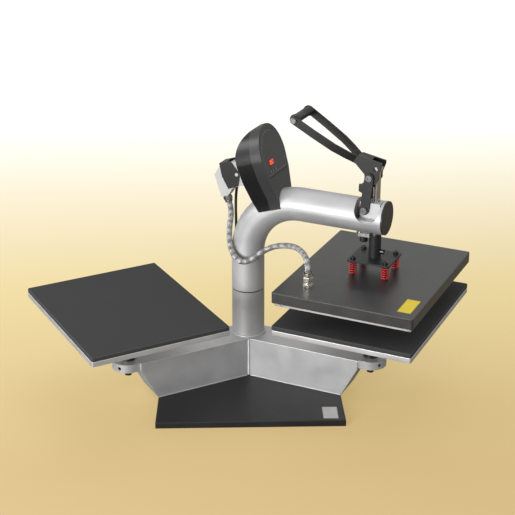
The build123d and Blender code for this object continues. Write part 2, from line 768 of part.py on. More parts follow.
with BuildPart() as guide_bar:
    with BuildSketch(deck(GUIDE_Z0)):
        with Locations(((GUIDE_PIN_AT + REACH) / 2, 0)):
            SlotCenterToCenter(REACH - GUIDE_PIN_AT, 2 * GUIDE_HALF_W)
        with Locations((REACH, 0)):
            Circle(SLEEVE_R + SEAT, mode=Mode.SUBTRACT)
        with Locations((GUIDE_PIN_AT, 0)):
            Circle(GUIDE_PIN_R, mode=Mode.SUBTRACT)
    extrude(amount=GUIDE_T)

with BuildPart() as guide_pin:
    with BuildSketch(deck(GUIDE_Z0)):
        with Locations((GUIDE_PIN_AT, 0)):
            Circle(GUIDE_PIN_R - SEAT)
    extrude(amount=GUIDE_PIN_TOP - GUIDE_Z0)

with BuildPart() as guide_nut:
    with BuildSketch(deck(GUIDE_Z0)):
        with Locations((GUIDE_NUT_AT, 0)):
            Circle(GUIDE_NUT_R)
    extrude(amount=-GUIDE_NUT_T)
    chamfer(guide_nut.edges().group_by(Axis.Z)[0], EDGE_BREAK)


# Heat platen.
with BuildPart() as heat_casing:
    with BuildSketch(bolt_grid(HEAT_LIP)):
        RectangleRounded(PLATEN_L, PLATEN_W, CORNER_R)
    extrude(amount=HEAT_TOP - HEAT_LIP)
    fillet(heat_casing.edges().group_by(Axis.Z)[-1], 2.5)
    with BuildSketch(bolt_grid(HEAT_LIP)):
        RectangleRounded(PLATEN_L - 2 * CASING_WALL, PLATEN_W - 2 * CASING_WALL, CORNER_R - CASING_WALL)
    extrude(amount=HEAT_TOP - HEAT_LIP - CASING_WALL, mode=Mode.SUBTRACT)
    with BuildSketch(bolt_grid(HEAT_TOP)):
        with GridLocations(BOLT_SPAN_R, BOLT_SPAN_W, 2, 2):
            Circle(BOLT_R + SEAT, mode=Mode.ADD)
        with Locations((FITTING_AT[0] - REACH, -FITTING_AT[1])):
            Circle(FITTING_SPIGOT_R + SEAT)
    extrude(amount=-2 * CASING_WALL, mode=Mode.SUBTRACT)

with BuildPart() as heat_insulation:
    with BuildSketch(bolt_grid(HEAT_PLATE_TOP + SEAT)):
        RectangleRounded(PLATEN_L - 3 * CASING_WALL, PLATEN_W - 3 * CASING_WALL, CORNER_R - CASING_WALL)
        with GridLocations(BOLT_SPAN_R, BOLT_SPAN_W, 2, 2):
            Circle(BOLT_R + MOVING_GAP, mode=Mode.SUBTRACT)
        with Locations((FITTING_AT[0] - REACH, -FITTING_AT[1])):
            Circle(FITTING_SPIGOT_R + MOVING_GAP, mode=Mode.SUBTRACT)
    extrude(amount=HEAT_TOP - CASING_WALL - HEAT_PLATE_TOP - 2 * SEAT)

with BuildPart() as heat_plate:
    with BuildSketch(bolt_grid(HEAT_FACE)):
        RectangleRounded(PLATEN_L - 2 * HEAT_INSET, PLATEN_W - 2 * HEAT_INSET, CORNER_R - 1)
    extrude(amount=HEAT_PLATE_TOP - HEAT_FACE)
    chamfer(heat_plate.edges().group_by(Axis.Z)[0], 1)
    with BuildSketch(bolt_grid(HEAT_LIP)):
        with GridLocations(BOLT_SPAN_R, BOLT_SPAN_W, 2, 2):
            Circle(BOLT_R + SEAT)
    extrude(amount=HEAT_PLATE_TOP - HEAT_LIP, mode=Mode.SUBTRACT)

with BuildPart() as press_bolts:
    with BuildSketch(bolt_grid(HEAT_LIP)):
        with GridLocations(BOLT_SPAN_R, BOLT_SPAN_W, 2, 2):
            Circle(BOLT_R)
    extrude(amount=PLATE_TOP + MOVING_GAP - HEAT_LIP)
    with BuildSketch(bolt_grid(PLATE_TOP + MOVING_GAP)):
        with GridLocations(BOLT_SPAN_R, BOLT_SPAN_W, 2, 2):
            Circle(BOLT_HEAD_R)
    extrude(amount=BOLT_HEAD_T)
    with BuildSketch(bolt_grid(PLATE_TOP + MOVING_GAP + BOLT_HEAD_T)):
        with GridLocations(BOLT_SPAN_R, BOLT_SPAN_W, 2, 2):
            RegularPolygon(SOCKET_R + 1, 6)
    extrude(amount=-BOLT_HEAD_T / 2, mode=Mode.SUBTRACT)

with BuildPart() as hose_fitting:
    fitting = Plane(origin=place(FITTING_AT[0], FITTING_AT[1], 0), z_dir=(0, 0, 1))
    with BuildSketch(fitting.offset(HEAT_TOP)):
        RegularPolygon(FITTING_HEX_R, 6)
    extrude(amount=FITTING_HEX_T)
    with BuildSketch(fitting.offset(HEAT_TOP)):
        Circle(FITTING_R)
    extrude(amount=FITTING_TOP - HEAT_TOP)
    with BuildSketch(fitting.offset(FITTING_FOOT)):
        Circle(FITTING_SPIGOT_R)
    extrude(amount=HEAT_TOP - FITTING_FOOT)
    with BuildSketch(fitting.offset(HOSE_END)):
        Circle(HOSE_R + HOSE_PLAY)
    extrude(amount=FITTING_TOP - HOSE_END, mode=Mode.SUBTRACT)


# Control box.
def box_outline(half_w, half_h, low):
    """Face outline: half an ellipse over tapering sides."""
    left = [(-x, y) for x, y in low]
    right = [(x, y) for x, y in reversed(low)]
    with BuildSketch() as outline:
        with BuildLine():
            EllipticalCenterArc((0, FACE_MID), half_w, half_h, start_angle=0, arc_size=180)
            Polyline((-half_w, FACE_MID), *left, *right, (half_w, FACE_MID))
        make_face()
    return outline.sketch


def make_box_body(inset):
    """Whole box body, moved in by inset on every side, before its opening for the arm."""
    low = [(x - inset, y) for x, y in FACE_LOW]
    deep = BOX_DEEP - inset
    with BuildPart() as body:
        with BuildSketch(face_plane(BOX_DEEP)):
            add(box_outline(FACE_HALF_W - inset, FACE_HALF_H - inset, low))
        extrude(amount=BOX_DEEP - inset)
        with BuildSketch(box_side()):
            with BuildLine():
                Polyline(
                    (-deep, BOX_ROUND_AT),
                    (-deep, FACE_LOW[2][1]),
                    (-deep + 10, FACE_LOW[3][1]),
                    (0, FACE_LOW[3][1]),
                    (0, BOX_ROUND_AT + deep),
                )
                CenterArc((0, BOX_ROUND_AT), deep, 90, 90)
            make_face()
        extrude(amount=FACE_HALF_W, both=True, mode=Mode.INTERSECT)
    return body


box_body = make_box_body(0)
box_inside = make_box_body(BOX_WALL)
with BuildPart() as box_cavity:
    add(box_inside.part)
    add(saddle_wall.part, mode=Mode.SUBTRACT)

with BuildPart() as box_shell:
    add(box_body.part)
    add(box_cavity.part, mode=Mode.SUBTRACT)
    add(saddle_clear.part, mode=Mode.SUBTRACT)


def band_slab(front, back):
    """Slab across the box between two depths behind the face."""
    with BuildPart() as slab:
        with BuildSketch(face_plane(back)):
            with Locations((0, FACE_MID)):
                Rectangle(4 * FACE_HALF_W, 4 * FACE_HALF_H)
        extrude(amount=back - front)
    return slab


front_slab = band_slab(-1, BAND_BACK)
with BuildPart() as box_front:
    add(box_shell.part)
    add(front_slab.part, mode=Mode.INTERSECT)
    with BuildSketch(face_plane(0)):
        add(box_outline(PANEL_HALF_W + MOVING_GAP, PANEL_HALF_H + MOVING_GAP, [PANEL_LOW]))
    extrude(amount=-PANEL_RECESS, mode=Mode.SUBTRACT)
    with BuildSketch(face_plane(0)):
        with Locations(DISPLAY_AT):
            Rectangle(DISPLAY[0] + SEAT, DISPLAY[1] + SEAT)
        with Locations(*BUTTONS.values()):
            Circle(BUTTON_R + MOVING_GAP)
        with Locations((0, FACE_GROOVE_AT - 2)):
            Rectangle(FACE_HALF_W * 1.6, 1.2)
    extrude(amount=-BOX_WALL * 1.5, mode=Mode.SUBTRACT)

with BuildPart() as box_rear:
    add(box_shell.part)
    add(front_slab.part, mode=Mode.SUBTRACT)
    with BuildSketch(face_plane(BOX_DEEP)):
        with Locations((-LEAD_OFF, LEAD_S)):
            Circle(LEAD_R + 2)
    extrude(amount=2 * BOX_WALL, mode=Mode.SUBTRACT)

with BuildPart() as face_panel:
    with BuildSketch(face_plane(PANEL_RECESS)):
        add(box_outline(PANEL_HALF_W, PANEL_HALF_H, [PANEL_LOW]))
        with Locations(DISPLAY_AT):
            Rectangle(DISPLAY[0] + SEAT, DISPLAY[1] + SEAT, mode=Mode.SUBTRACT)
        with Locations(*BUTTONS.values()):
            Circle(BUTTON_R + MOVING_GAP, mode=Mode.SUBTRACT)
    extrude(amount=PANEL_T)

with BuildPart() as display_window:
    with BuildSketch(face_plane(PANEL_RECESS - PANEL_T)):
        with Locations(DISPLAY_AT):
            Rectangle(DISPLAY[0], DISPLAY[1])
    extrude(amount=-DISPLAY_T)


def make_button(at):
    """Push button with the flange that keeps it behind the face wall."""
    with BuildPart() as button:
        with BuildSketch(face_plane(-BUTTON_OUT)):
            with Locations(at):
                Circle(BUTTON_R)
        extrude(amount=-BUTTON_STEM - BUTTON_OUT)
        with BuildSketch(face_plane(BOX_WALL + MOVING_GAP)):
            with Locations(at):
                Circle(BUTTON_FLANGE_R)
        extrude(amount=-BUTTON_TRAVEL)
    return button


buttons = {name: make_button(at) for name, at in BUTTONS.items()}

with BuildPart() as controller_board:
    with BuildSketch(face_plane(BOARD_Z)):
        with Locations(BOARD_AT):
            Rectangle(*BOARD_SIZE)
    extrude(amount=-BOARD_T)
    with BuildSketch(face_plane(BOARD_Z)):
        with Locations(DISPLAY_AT):
            Rectangle(DISPLAY[0] + 4, DISPLAY[1] + 4)
    extrude(amount=BOARD_Z - PANEL_RECESS - DISPLAY_T)
    with BuildSketch(face_plane(BOARD_Z)):
        with Locations(*BUTTONS.values()):
            Rectangle(7, 7)
    extrude(amount=BOARD_Z - BUTTON_STEM - BUTTON_TRAVEL - 2 * MOVING_GAP)
    with BuildSketch(face_plane(BOARD_Z + BOARD_T)):
        with Locations((BOARD_AT[0] - 20, BOARD_AT[1])):
            Rectangle(24, 30)
        with Locations((BOARD_AT[0] + 16, BOARD_AT[1])):
            Rectangle(34, 38)
    extrude(amount=-18)
    with BuildSketch(face_plane(BOARD_Z)):
        with Locations(BOARD_AT):
            with GridLocations(BOARD_SIZE[0] - 8, BOARD_SIZE[1] - 8, 2, 2):
                Circle(3)
    extrude(amount=BOARD_Z - BOX_WALL)


# Heavy-duty connector on the back of the box.
def plug_side():
    """Upright plane through the middle of the connector."""
    return box_side(PLUG_OFF)


PLUG_MID = (PLUG_S[0] + PLUG_S[1]) / 2
PLUG_LONG = PLUG_S[1] - PLUG_S[0]
with BuildPart() as connector_base:
    with BuildSketch(plug_side()):
        with Locations((-BOX_DEEP, PLUG_MID)):
            Rectangle(PLUG_BACK - BOX_DEEP, PLUG_LONG, align=(Align.MAX, Align.CENTER))
    extrude(amount=PLUG_HALF, both=True)
    with BuildSketch(plug_side()):
        with Locations((-PLUG_BACK, PLUG_MID)):
            Rectangle(PLUG_BACK / 4, PLUG_LONG - 2 * BOX_WALL, align=(Align.MIN, Align.CENTER))
    extrude(amount=PLUG_HALF - BOX_WALL, both=True, mode=Mode.SUBTRACT)
    with BuildSketch(plug_side()):
        with Locations(LATCH_PIVOT):
            Circle(LATCH_PIN_R)
    extrude(amount=PLUG_HALF + LATCH_T + 1, both=True)

with BuildPart() as connector_hood:
    hood = [
        (-HOOD_FRONT, PLUG_S[0] + 3),
        (-HOOD_FRONT, PLUG_S[1] - 2),
        (-HOOD_FRONT - 30, PLUG_S[1] - 2),
        (-HOOD_BACK, PLUG_S[1] - 24),
        (-HOOD_BACK, PLUG_S[0] - 6),
        (-GLAND_D - 11, GLAND_S[1]),
        (-GLAND_D + 11, GLAND_S[1]),
        (-HOOD_FRONT - 14, PLUG_S[0] - 6),
    ]
    with BuildSketch(plug_side()):
        with BuildLine():
            Polyline(*hood, close=True)
        make_face()
    extrude(amount=HOOD_HALF, both=True)
    with BuildSketch(plug_side()):
        with Locations((-PLUG_BACK, PLUG_MID)):
            Rectangle(HOOD_FRONT - PLUG_BACK, PLUG_LONG - 4 * BOX_WALL, align=(Align.MAX, Align.CENTER))
    extrude(amount=HOOD_HALF - BOX_WALL, both=True)

with BuildPart() as connector_latch:
    latch_top = PLUG_S[1] + 1
    latch_outline = [(LATCH_PIVOT[0] + x, LATCH_PIVOT[1] + y) for x, y in LATCH_REST]
    for side in (1, -1):
        with BuildSketch(box_side(PLUG_OFF + side * (PLUG_HALF + MOVING_GAP))):
            with BuildLine():
                Polyline(*latch_outline, close=True)
            make_face()
            with Locations(LATCH_PIVOT):
                Circle(LATCH_PIN_R + RUNNING_FIT, mode=Mode.SUBTRACT)
        extrude(amount=side * LATCH_T)
    with BuildSketch(plug_side()):
        with Locations((-HOOD_FRONT - 3, latch_top)):
            Rectangle(22, 5, align=(Align.MAX, Align.MIN))
    extrude(amount=PLUG_HALF + MOVING_GAP + LATCH_T / 2, both=True)

with BuildPart() as hose_gland:
    gland_plane = Plane(origin=box_point(PLUG_OFF, GLAND_S[1], GLAND_D), z_dir=BOX_UP * -1)
    with BuildSketch(gland_plane):
        Circle(GLAND_R - 2)
    extrude(amount=GLAND_S[1] - GLAND_S[0])
    with BuildSketch(gland_plane.offset(3)):
        RegularPolygon(GLAND_R, 6)
    extrude(amount=10)

hose_start = box_point(PLUG_OFF, GLAND_S[0], GLAND_D)
hose_below = box_point(PLUG_OFF, GLAND_S[0] - HOSE_FIRST_RUN, GLAND_D)
fitting_foot = place(FITTING_AT[0], FITTING_AT[1], HOSE_END)
hose_route = [
    (hose_start.X, hose_start.Y, hose_start.Z),
    (hose_below.X, hose_below.Y, hose_below.Z),
    (-55.0, 2.0, 458.0),
    (-51.0, -42.0, 404.0),
    (-12.0, -78.0, 380.0),
    (56.0, -83.0, 440.0),
    (120.0, -150.0, 472.0),
    (148.0, -228.0, 480.0),
    (fitting_foot.X, fitting_foot.Y, 462.0),
    (fitting_foot.X, fitting_foot.Y, fitting_foot.Z),
]
braided_hose = make_tube(hose_route, HOSE_R, "braided_hose")

# Mains lead, its gland on the box, its coil and plug on the floor behind the base.
with BuildPart() as mains_gland:
    lead_plane = Plane(origin=box_point(LEAD_OFF, LEAD_S, BOX_DEEP), z_dir=BOX_NORMAL * -1)
    with BuildSketch(lead_plane):
        Circle(LEAD_R * 2.5)
    with BuildSketch(lead_plane.offset(LEAD_GLAND)):
        Circle(LEAD_R * 1.5)
    loft()

lead_start = box_point(LEAD_OFF, LEAD_S, BOX_DEEP + LEAD_GLAND)
lead_floor = LEAD_R + FLOOR_PLAY
coil_left = (COIL_AT[0] - COIL_R, COIL_AT[1] - COIL_TAIL, lead_floor)
lead_behind = box_point(LEAD_OFF, LEAD_S, BOX_DEEP + LEAD_GLAND + LEAD_FIRST_RUN)
lead_route = [
    (lead_start.X, lead_start.Y, lead_start.Z),
    (lead_behind.X, lead_behind.Y, lead_behind.Z),
    (-35.0, 51.0, 540.0),
    (-33.0, 47.0, 442.0),
    (-37.0, 53.0, 343.0),
    (-33.0, 57.0, 243.0),
    (-38.0, 66.0, 150.0),
    (-34.0, 78.0, 62.0),
    (coil_left[0], coil_left[1] - LEAD_LAST_RUN, lead_floor),
    coil_left,
]
mains_lead = make_tube(lead_route, LEAD_R, "mains_lead")

with BuildPart() as mains_coil:
    for turn in range(2):
        with Locations((COIL_AT[0], COIL_AT[1], lead_floor + turn * COIL_RISE)):
            Torus(COIL_R + COIL_SHIFT * (-1) ** turn, LEAD_R)
    with Locations((COIL_AT[0], COIL_AT[1], lead_floor + 2 * COIL_RISE)):
        Torus(COIL_R + COIL_SHIFT, LEAD_R, major_angle=180)
    with BuildSketch(Plane(origin=coil_left, z_dir=(0, 1, 0))):
        Circle(LEAD_R)
    extrude(amount=COIL_TAIL)
    tail_start = Vector(COIL_AT[0] + COIL_R, COIL_AT[1], lead_floor + 2 * COIL_RISE)
    plug_start = Vector(COIL_AT[0] + COIL_R, COIL_AT[1] - PLUG_TAIL, lead_floor + COIL_RISE)
    with BuildSketch(Plane(origin=tail_start, z_dir=plug_start - tail_start)):
        Circle(LEAD_R)
    extrude(amount=(plug_start - tail_start).length)

with BuildPart() as mains_plug:
    plug_plane = Plane(origin=plug_start, x_dir=(-1, 0, 0), z_dir=(0, -1, 0))
    with BuildSketch(plug_plane):
        Circle(LEAD_R * 1.5)
    with BuildSketch(plug_plane.offset(LEAD_GLAND)):
        Circle(LEAD_R * 2.2)
    loft()
    with BuildSketch(plug_plane.offset(LEAD_GLAND)):
        RectangleRounded(PLUG_BODY[0], PLUG_BODY[2], CORNER_R)
    extrude(amount=PLUG_BODY[1])
    with BuildSketch(plug_plane.offset(LEAD_GLAND + PLUG_BODY[1])):
        with Locations((-6.3, 3), (6.3, 3)):
            Rectangle(1.5, 6.3)
        with Locations((0, -6)):
            Circle(2.4)
    extrude(amount=PLUG_PIN_L)

NODES = {
    "floor_plate": floor_plate,
    "beam_right": beam_right,
    "beam_left": beam_left,
    "lug_right": lug_right,
    "lug_left": lug_left,
    "lug_set_screws": lug_set_screws,
    "column_post": column_post,
    "pivot_shaft": pivot_shaft,
    "thrust_ring": thrust_ring,
    "swivel_post_right": swivel_post_right,
    "tray_right": tray_right,
    "pad_right": pad_right,
    "swivel_post_left": swivel_post_left,
    "tray_left": tray_left,
    "pad_left": pad_left,
    "arm_tube": arm_tube,
    "arm_end_cap": arm_end_cap,
    "guide_block": guide_block,
    "link_pivot_bolts": link_pivot_bolts,
    "link_front": link_front,
    "link_back": link_back,
    "link_top_bolts": link_top_bolts,
    "stop_block": stop_block,
    "stop_screw": stop_screw,
    "lever_clevis": lever_clevis,
    "lever_bar_front": lever_bar_front,
    "lever_bar_back": lever_bar_back,
    "grip_bolt": grip_bolt,
    "hand_grip": hand_grip,
    "plunger_shaft": plunger_shaft,
    "toggle_pin": toggle_pin,
    "plunger_sleeve": plunger_sleeve,
    "clamp_screw": clamp_screw,
    "spring_plate": spring_plate,
    "press_springs": press_springs,
    "guide_bar": guide_bar,
    "guide_pin": guide_pin,
    "guide_nut": guide_nut,
    "heat_casing": heat_casing,
    "heat_insulation": heat_insulation,
    "heat_plate": heat_plate,
    "press_bolts": press_bolts,
    "hose_fitting": hose_fitting,
    "box_front": box_front,
    "box_rear": box_rear,
    "face_panel": face_panel,
    "display_window": display_window,
    "controller_board": controller_board,
    "connector_base": connector_base,
    "connector_hood": connector_hood,
    "connector_latch": connector_latch,
    "hose_gland": hose_gland,
    "braided_hose": braided_hose,
    "mains_gland": mains_gland,
    "mains_lead": mains_lead,
    "mains_coil": mains_coil,
    "mains_plug": mains_plug,
    **buttons,
}
for name, piece in NODES.items():
    piece.part.label = name
    export_step(piece.part, f"parts/{name}.step")

print("stroke", round(STROKE, 3), "link", round(math.degrees(LINK_SWING), 3))
print("lever", round(math.degrees(LEVER_SWING), 3), "nodes", len(NODES))
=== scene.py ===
import bpy
import math
from mathutils import Matrix, Vector


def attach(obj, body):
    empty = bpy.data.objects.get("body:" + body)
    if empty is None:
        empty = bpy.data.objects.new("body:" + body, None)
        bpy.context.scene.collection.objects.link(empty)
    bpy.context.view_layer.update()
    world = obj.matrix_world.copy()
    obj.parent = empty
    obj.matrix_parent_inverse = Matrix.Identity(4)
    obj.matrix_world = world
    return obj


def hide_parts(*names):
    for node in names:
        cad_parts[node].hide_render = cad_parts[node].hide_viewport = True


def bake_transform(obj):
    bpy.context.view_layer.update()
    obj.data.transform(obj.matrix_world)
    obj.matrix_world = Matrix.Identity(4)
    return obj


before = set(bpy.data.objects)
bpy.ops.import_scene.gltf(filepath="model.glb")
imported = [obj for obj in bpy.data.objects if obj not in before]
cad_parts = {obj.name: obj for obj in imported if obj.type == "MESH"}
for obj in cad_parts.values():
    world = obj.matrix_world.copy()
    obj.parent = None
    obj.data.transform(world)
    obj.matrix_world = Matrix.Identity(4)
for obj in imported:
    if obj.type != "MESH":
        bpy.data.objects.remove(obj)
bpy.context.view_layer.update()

MM = 0.001
STATION_TURN = math.radians(26.6)

# Camera, at the angle and distance of the photograph.
CAMERA_AT = (-0.0665, -3.5753, 1.8897)
CAMERA_DOWN = math.radians(23.0)
CAMERA_YAW = math.radians(-1.5)
CAMERA_LENS = 93.73
CAMERA_SENSOR = 36
CAMERA_FAR = 50

# Hose and mains lead: the route points of the solids, in millimetres.
HOSE_R = 8 * MM
HOSE_LENGTH = 0.55
HOSE_STRANDS = 12
HOSE_ROUTE = (
    (-53.52, 10.03, 543.05),
    (-45.23, 5.88, 514.51),
    (-55.0, 2.0, 458.0),
    (-51.0, -42.0, 404.0),
    (-12.0, -78.0, 380.0),
    (56.0, -83.0, 440.0),
    (120.0, -150.0, 472.0),
    (148.0, -228.0, 480.0),
    (156.81, -269.77, 462.0),
    (156.81, -269.77, 418.0),
)
LEAD_R = 4 * MM
LEAD_ROUTE = (
    (9.44, 24.35, 616.03),
    (-12.0, 35.0, 608.0),
    (-30.0, 44.5, 585.0),
    (-35.0, 51.0, 530.0),
    (-33.0, 47.0, 442.0),
    (-37.0, 53.0, 343.0),
    (-33.0, 57.0, 243.0),
    (-38.0, 66.0, 150.0),
    (-36.0, 72.0, 84.0),
    (-39.0, 79.0, 34.0),
    (-44.0, 100.0, 4.2),
    (-45.0, 135.0, 4.2),
)
# Coil on the floor: each turn is level for its first share, then climbs onto the last.
COIL_AT = (0.0, 165.0)
COIL_R = 45.0
COIL_FLOOR = 4.2
COIL_PITCH = 8.2
COIL_STEPS = 16
COIL_HALF_TURNS = 5
COIL_LEVEL = 0.45
COIL_TAIL = ((46.0, 148.0, 18.0), (45.0, 134.0, 12.5), (45.0, 125.0, 11.4))
PIN_END = 68.5 * MM
TIE_TURN = math.radians(150)
TIE_BREADTH = 9.4 * MM
TIE_TALL = 25.3 * MM
TIE_WIDTH = 10 * MM
TIE_T = 0.8 * MM
TIE_ROUND = 4 * MM
TIE_LIFT = 0.1 * MM

# Control box face: its tilt and the places on it, across and up the face.
BOX_TILT = math.radians(18)
BOX_REACH = 110 * MM
BOX_Z = 600 * MM
FACE_MID = 100 * MM
PANEL_OUT = 0.3 * MM
OUTLINE_HALF_W = 63 * MM
OUTLINE_HALF_H = 73 * MM
OUTLINE_FOOT = (54.5 * MM, 56 * MM)
DISPLAY_AT = (-24.5 * MM, 87 * MM)
DIGIT_H = 12 * MM
DIGIT_STEP = 10 * MM
DIGIT_T = 0.2 * MM
DIGIT_BAR = 0.24
DIGIT_STROKE = 0.07
LINE_STEPS = 24
LINE_R = 0.45 * MM

# Plain labels: their sizes, borders and places.
STICKER_T = 0.2 * MM
STICKER_ROUND = 2 * MM
STICKER_BORDER = 1.6 * MM
FLOOR_LABEL = (43 * MM, 66 * MM)
FLOOR_LABEL_AT = (0.2235, -0.2875)
CASING_LABEL = (38 * MM, 85 * MM)
CASING_LABEL_AT = (551 * MM, 177.5 * MM)
CASING_TOP = 400 * MM

# Hose fitting on the casing: height range and radius of each step.
FITTING_AT = (261 * MM, 171 * MM)
FITTING_NUTS = ((400 * MM, 410 * MM, 15.6 * MM), (413.4 * MM, 429 * MM, 15.2 * MM))
FITTING_COLLAR = ((432 * MM, 440 * MM, 13.4 * MM), (410.5 * MM, 412.9 * MM, 13.2 * MM))

# Screws in the rim of the heated plate: each one's reach, in millimetres, and its side.
RIM_SCREWS = ((200, 1), (213, 1), (574, 1), (200, -1), (574, -1))
RIM_OFF = 244 * MM
RIM_Z = 364.5 * MM
SCREW_HEAD = (0, 1.6 * MM, 2.8 * MM)

# Floor paper: its size, its colours and how far back each begins, in metres.
PAPER_SIZE = 40
PAPER_BACK = 10
PAPER_TAN = (0.70, 0.49, 0.19)
PAPER_CREAM = (0.90, 0.72, 0.33)
PAPER_WHITE = (1.0, 1.0, 0.96)
PAPER_NEAR = -0.55
PAPER_MID = 0.6
PAPER_FAR = 2.5
PAPER_GLOW = 0.62
PAPER_FAR_GLOW = 0.86
PAPER_SHARE = 0.3
PAPER_BOUNCE = 0.16
PAPER_MIRRORED = 0.3

# Studio air: its light on the object, and the backdrop that the camera and metal see.
AIR_COLOUR = (1, 0.99, 0.97, 1)
AIR_GLOW = 0.45
AIR_SEEN = (1, 0.99, 0.96, 1)
AIR_MIRRORED = 0.4

# Lamps: place, the point each faces, width and height in metres, and power in watts.
LAMPS = {
    "front_lamp": ((-2.2, -3.1, 0.8), (0, 0, 0.3), (1.8, 1.3), 108),
    "left_lamp": ((-2.8, -0.4, 1.9), (0, 0, 0.4), (1.2, 2.0), 30),
    "right_lamp": ((2.8, -0.9, 1.6), (0, 0, 0.4), (1.0, 2.0), 5),
    "top_lamp": ((0.2, 0.2, 3.2), (0.1, 0, 0.4), (2.8, 2.2), 17),
}

# Hand grip: the flanges at its ends and the waist between them.
GRIP_FLANGE = 5 * MM
GRIP_TAPER = 1.5 * MM
GRIP_CORE = 9 * MM
GRIP_WAIST = 0.84

# Metal edges and seams.
BEAM_W = 100 * MM
BEAM_TOP = 138.4 * MM
BEAM_FOOT = 18.5 * MM
BEAM_END = 366 * MM
WELD_STEP = 1.8 * MM
WELD_NECK = 0.72
APEX_WELD_R = 3.5 * MM
LUG_WELD_R = 2.6 * MM
LUG_WELD_OFF = 45 * MM
LUG_WELD_TALL = 23 * MM
FOOT_WELD_R = 1.6 * MM
FOOT_WELD_REACH = (30 * MM, 316 * MM)
SMOOTH_ANGLE = math.radians(35)
FLAT_ANGLE = math.radians(0.4)
MERGE_GAP = 2e-6

# Widths of the rounded edges, which take a lighter, smoother finish: partly wear, partly painted
# highlight.
THIN_EDGE = 0.5 * MM
FLOOR_EDGE = 0.6 * MM
BAR_EDGE = 0.8 * MM
TUBE_EDGE = 1.0 * MM
BEAM_EDGE = 1.5 * MM
SOFT_EDGE = 1.6 * MM
HOOD_EDGE = 2.0 * MM

# Upward slope of the casing's upper rim faces that are painted in the lighter edge finish, as a
# painted highlight.
HIGHLIGHT_SLOPE = (0.2, 0.95)


def place(reach, off, height, side=1):
    """World point out along a beam, forward of it by off, at a height."""
    along = Vector((side * math.cos(STATION_TURN), -math.sin(STATION_TURN), 0))
    front = Vector((-side * math.sin(STATION_TURN), -math.cos(STATION_TURN), 0))
    return along * reach + front * off + Vector((0, 0, height))


def station_turn(side=1):
    """Turn about the column from world x to a station's beam."""
    return -side * STATION_TURN


def box_frame():
    """Matrix from control box face coordinates, across, up and outward, to the world."""
    along = place(1, 0, 0)
    outward = along * math.cos(BOX_TILT) + Vector((0, 0, math.sin(BOX_TILT)))
    up = along * -math.sin(BOX_TILT) + Vector((0, 0, math.cos(BOX_TILT)))
    across = up.cross(outward)
    axes = Matrix((across, up, outward)).transposed().to_4x4()
    return Matrix.Translation(place(BOX_REACH, 0, BOX_Z)) @ axes


FACE = box_frame()


# Tools for pieces.
def focus(*pieces):
    """Deselect everything, then select these and make the first one active."""
    bpy.ops.object.select_all(action="DESELECT")
    for piece in pieces:
        piece.select_set(True)
    bpy.context.view_layer.objects.active = pieces[0]


def settle(piece, matrix=None):
    """Put a piece's place into its mesh, after an optional move to the world."""
    if matrix is not None:
        piece.matrix_world = matrix @ piece.matrix_world
    focus(piece)
    bpy.ops.object.transform_apply(location=True, rotation=True, scale=True)
    return piece


def started(name):
    """Name the primitive that was just added."""
    piece = bpy.context.active_object
    piece.name = name
    piece.data.name = name
    return piece


def unpicked():
    """Deselect all that the active piece is made of."""
    bpy.ops.object.mode_set(mode="EDIT")
    bpy.ops.mesh.select_all(action="DESELECT")
    bpy.ops.object.mode_set(mode="OBJECT")


def pick_faces(piece, chosen):
    """Go to edit mode with the faces selected that chosen says."""
    unpicked()
    for face in piece.data.polygons:
        face.select = chosen(face)
    bpy.ops.object.mode_set(mode="EDIT")


def pick_edges(piece, axis, length):
    """Go to edit mode with the edges selected that run further than length along an axis."""
    unpicked()
    for edge in piece.data.edges:
        one, two = (piece.data.vertices[i].co for i in edge.vertices)
        edge.select = abs(one[axis] - two[axis]) > length
    bpy.ops.object.mode_set(mode="EDIT")


def soft_edges(piece, width, segments=2, paint=0, angle=30):
    """Bevel the sharp edges, giving the new faces the material slot paint."""
    focus(piece)
    bpy.ops.object.mode_set(mode="EDIT")
    bpy.ops.mesh.select_all(action="DESELECT")
    bpy.ops.mesh.select_mode(type="EDGE")
    bpy.ops.mesh.edges_select_sharp(sharpness=math.radians(angle))
    bpy.ops.mesh.bevel(offset=width, segments=segments, material=paint, clamp_overlap=True)
    bpy.ops.object.mode_set(mode="OBJECT")
    bpy.ops.object.shade_smooth_by_angle(angle=SMOOTH_ANGLE)
    bpy.ops.object.modifier_add(type="WEIGHTED_NORMAL")
    piece.modifiers[-1].keep_sharp = True
    bpy.ops.object.modifier_apply(modifier=piece.modifiers[-1].name)
    return piece


def finished(piece, body, *paints, slot=None):
    """Give a piece its materials and its body."""
    piece.data.materials.clear()
    for paint in paints:
        piece.data.materials.append(paint.material)
    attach(piece, body)
    return piece


def copied(node, name, *paints):
    """Copy of a CAD node's mesh in an object of its own, with these finishes."""
    piece = bpy.data.objects.new(name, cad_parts[node].data.copy())
    bpy.context.collection.objects.link(piece)
    piece.data.materials.clear()
    for paint in paints:
        piece.data.materials.append(paint.material)
    return piece


def rounded(node, body, width, paint, edge_paint, segments=2, shine=None):
    """Copy of a CAD node with rounded edges in edge_paint, which for most pieces is a lighter copy
    of paint: partly wear, partly painted highlight; shine picks more faces for edge_paint.
    """
    piece = copied(node, node + "_worn", paint, edge_paint)
    focus(piece)
    bpy.ops.object.mode_set(mode="EDIT")
    bpy.ops.mesh.select_all(action="SELECT")
    bpy.ops.mesh.remove_doubles(threshold=MERGE_GAP)
    bpy.ops.mesh.dissolve_limited(angle_limit=FLAT_ANGLE)
    bpy.ops.object.mode_set(mode="OBJECT")
    for face in piece.data.polygons:
        face.material_index = 0
    soft_edges(piece, width, segments, paint=1)
    if shine is not None:
        for face in piece.data.polygons:
            if shine(face):
                face.material_index = 1
    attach(piece, body)
    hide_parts(node)
    return piece


def shown(node, paint):
    """A CAD node that keeps its own mesh takes this finish."""
    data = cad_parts[node].data
    data.materials.clear()
    data.materials.append(paint.material)


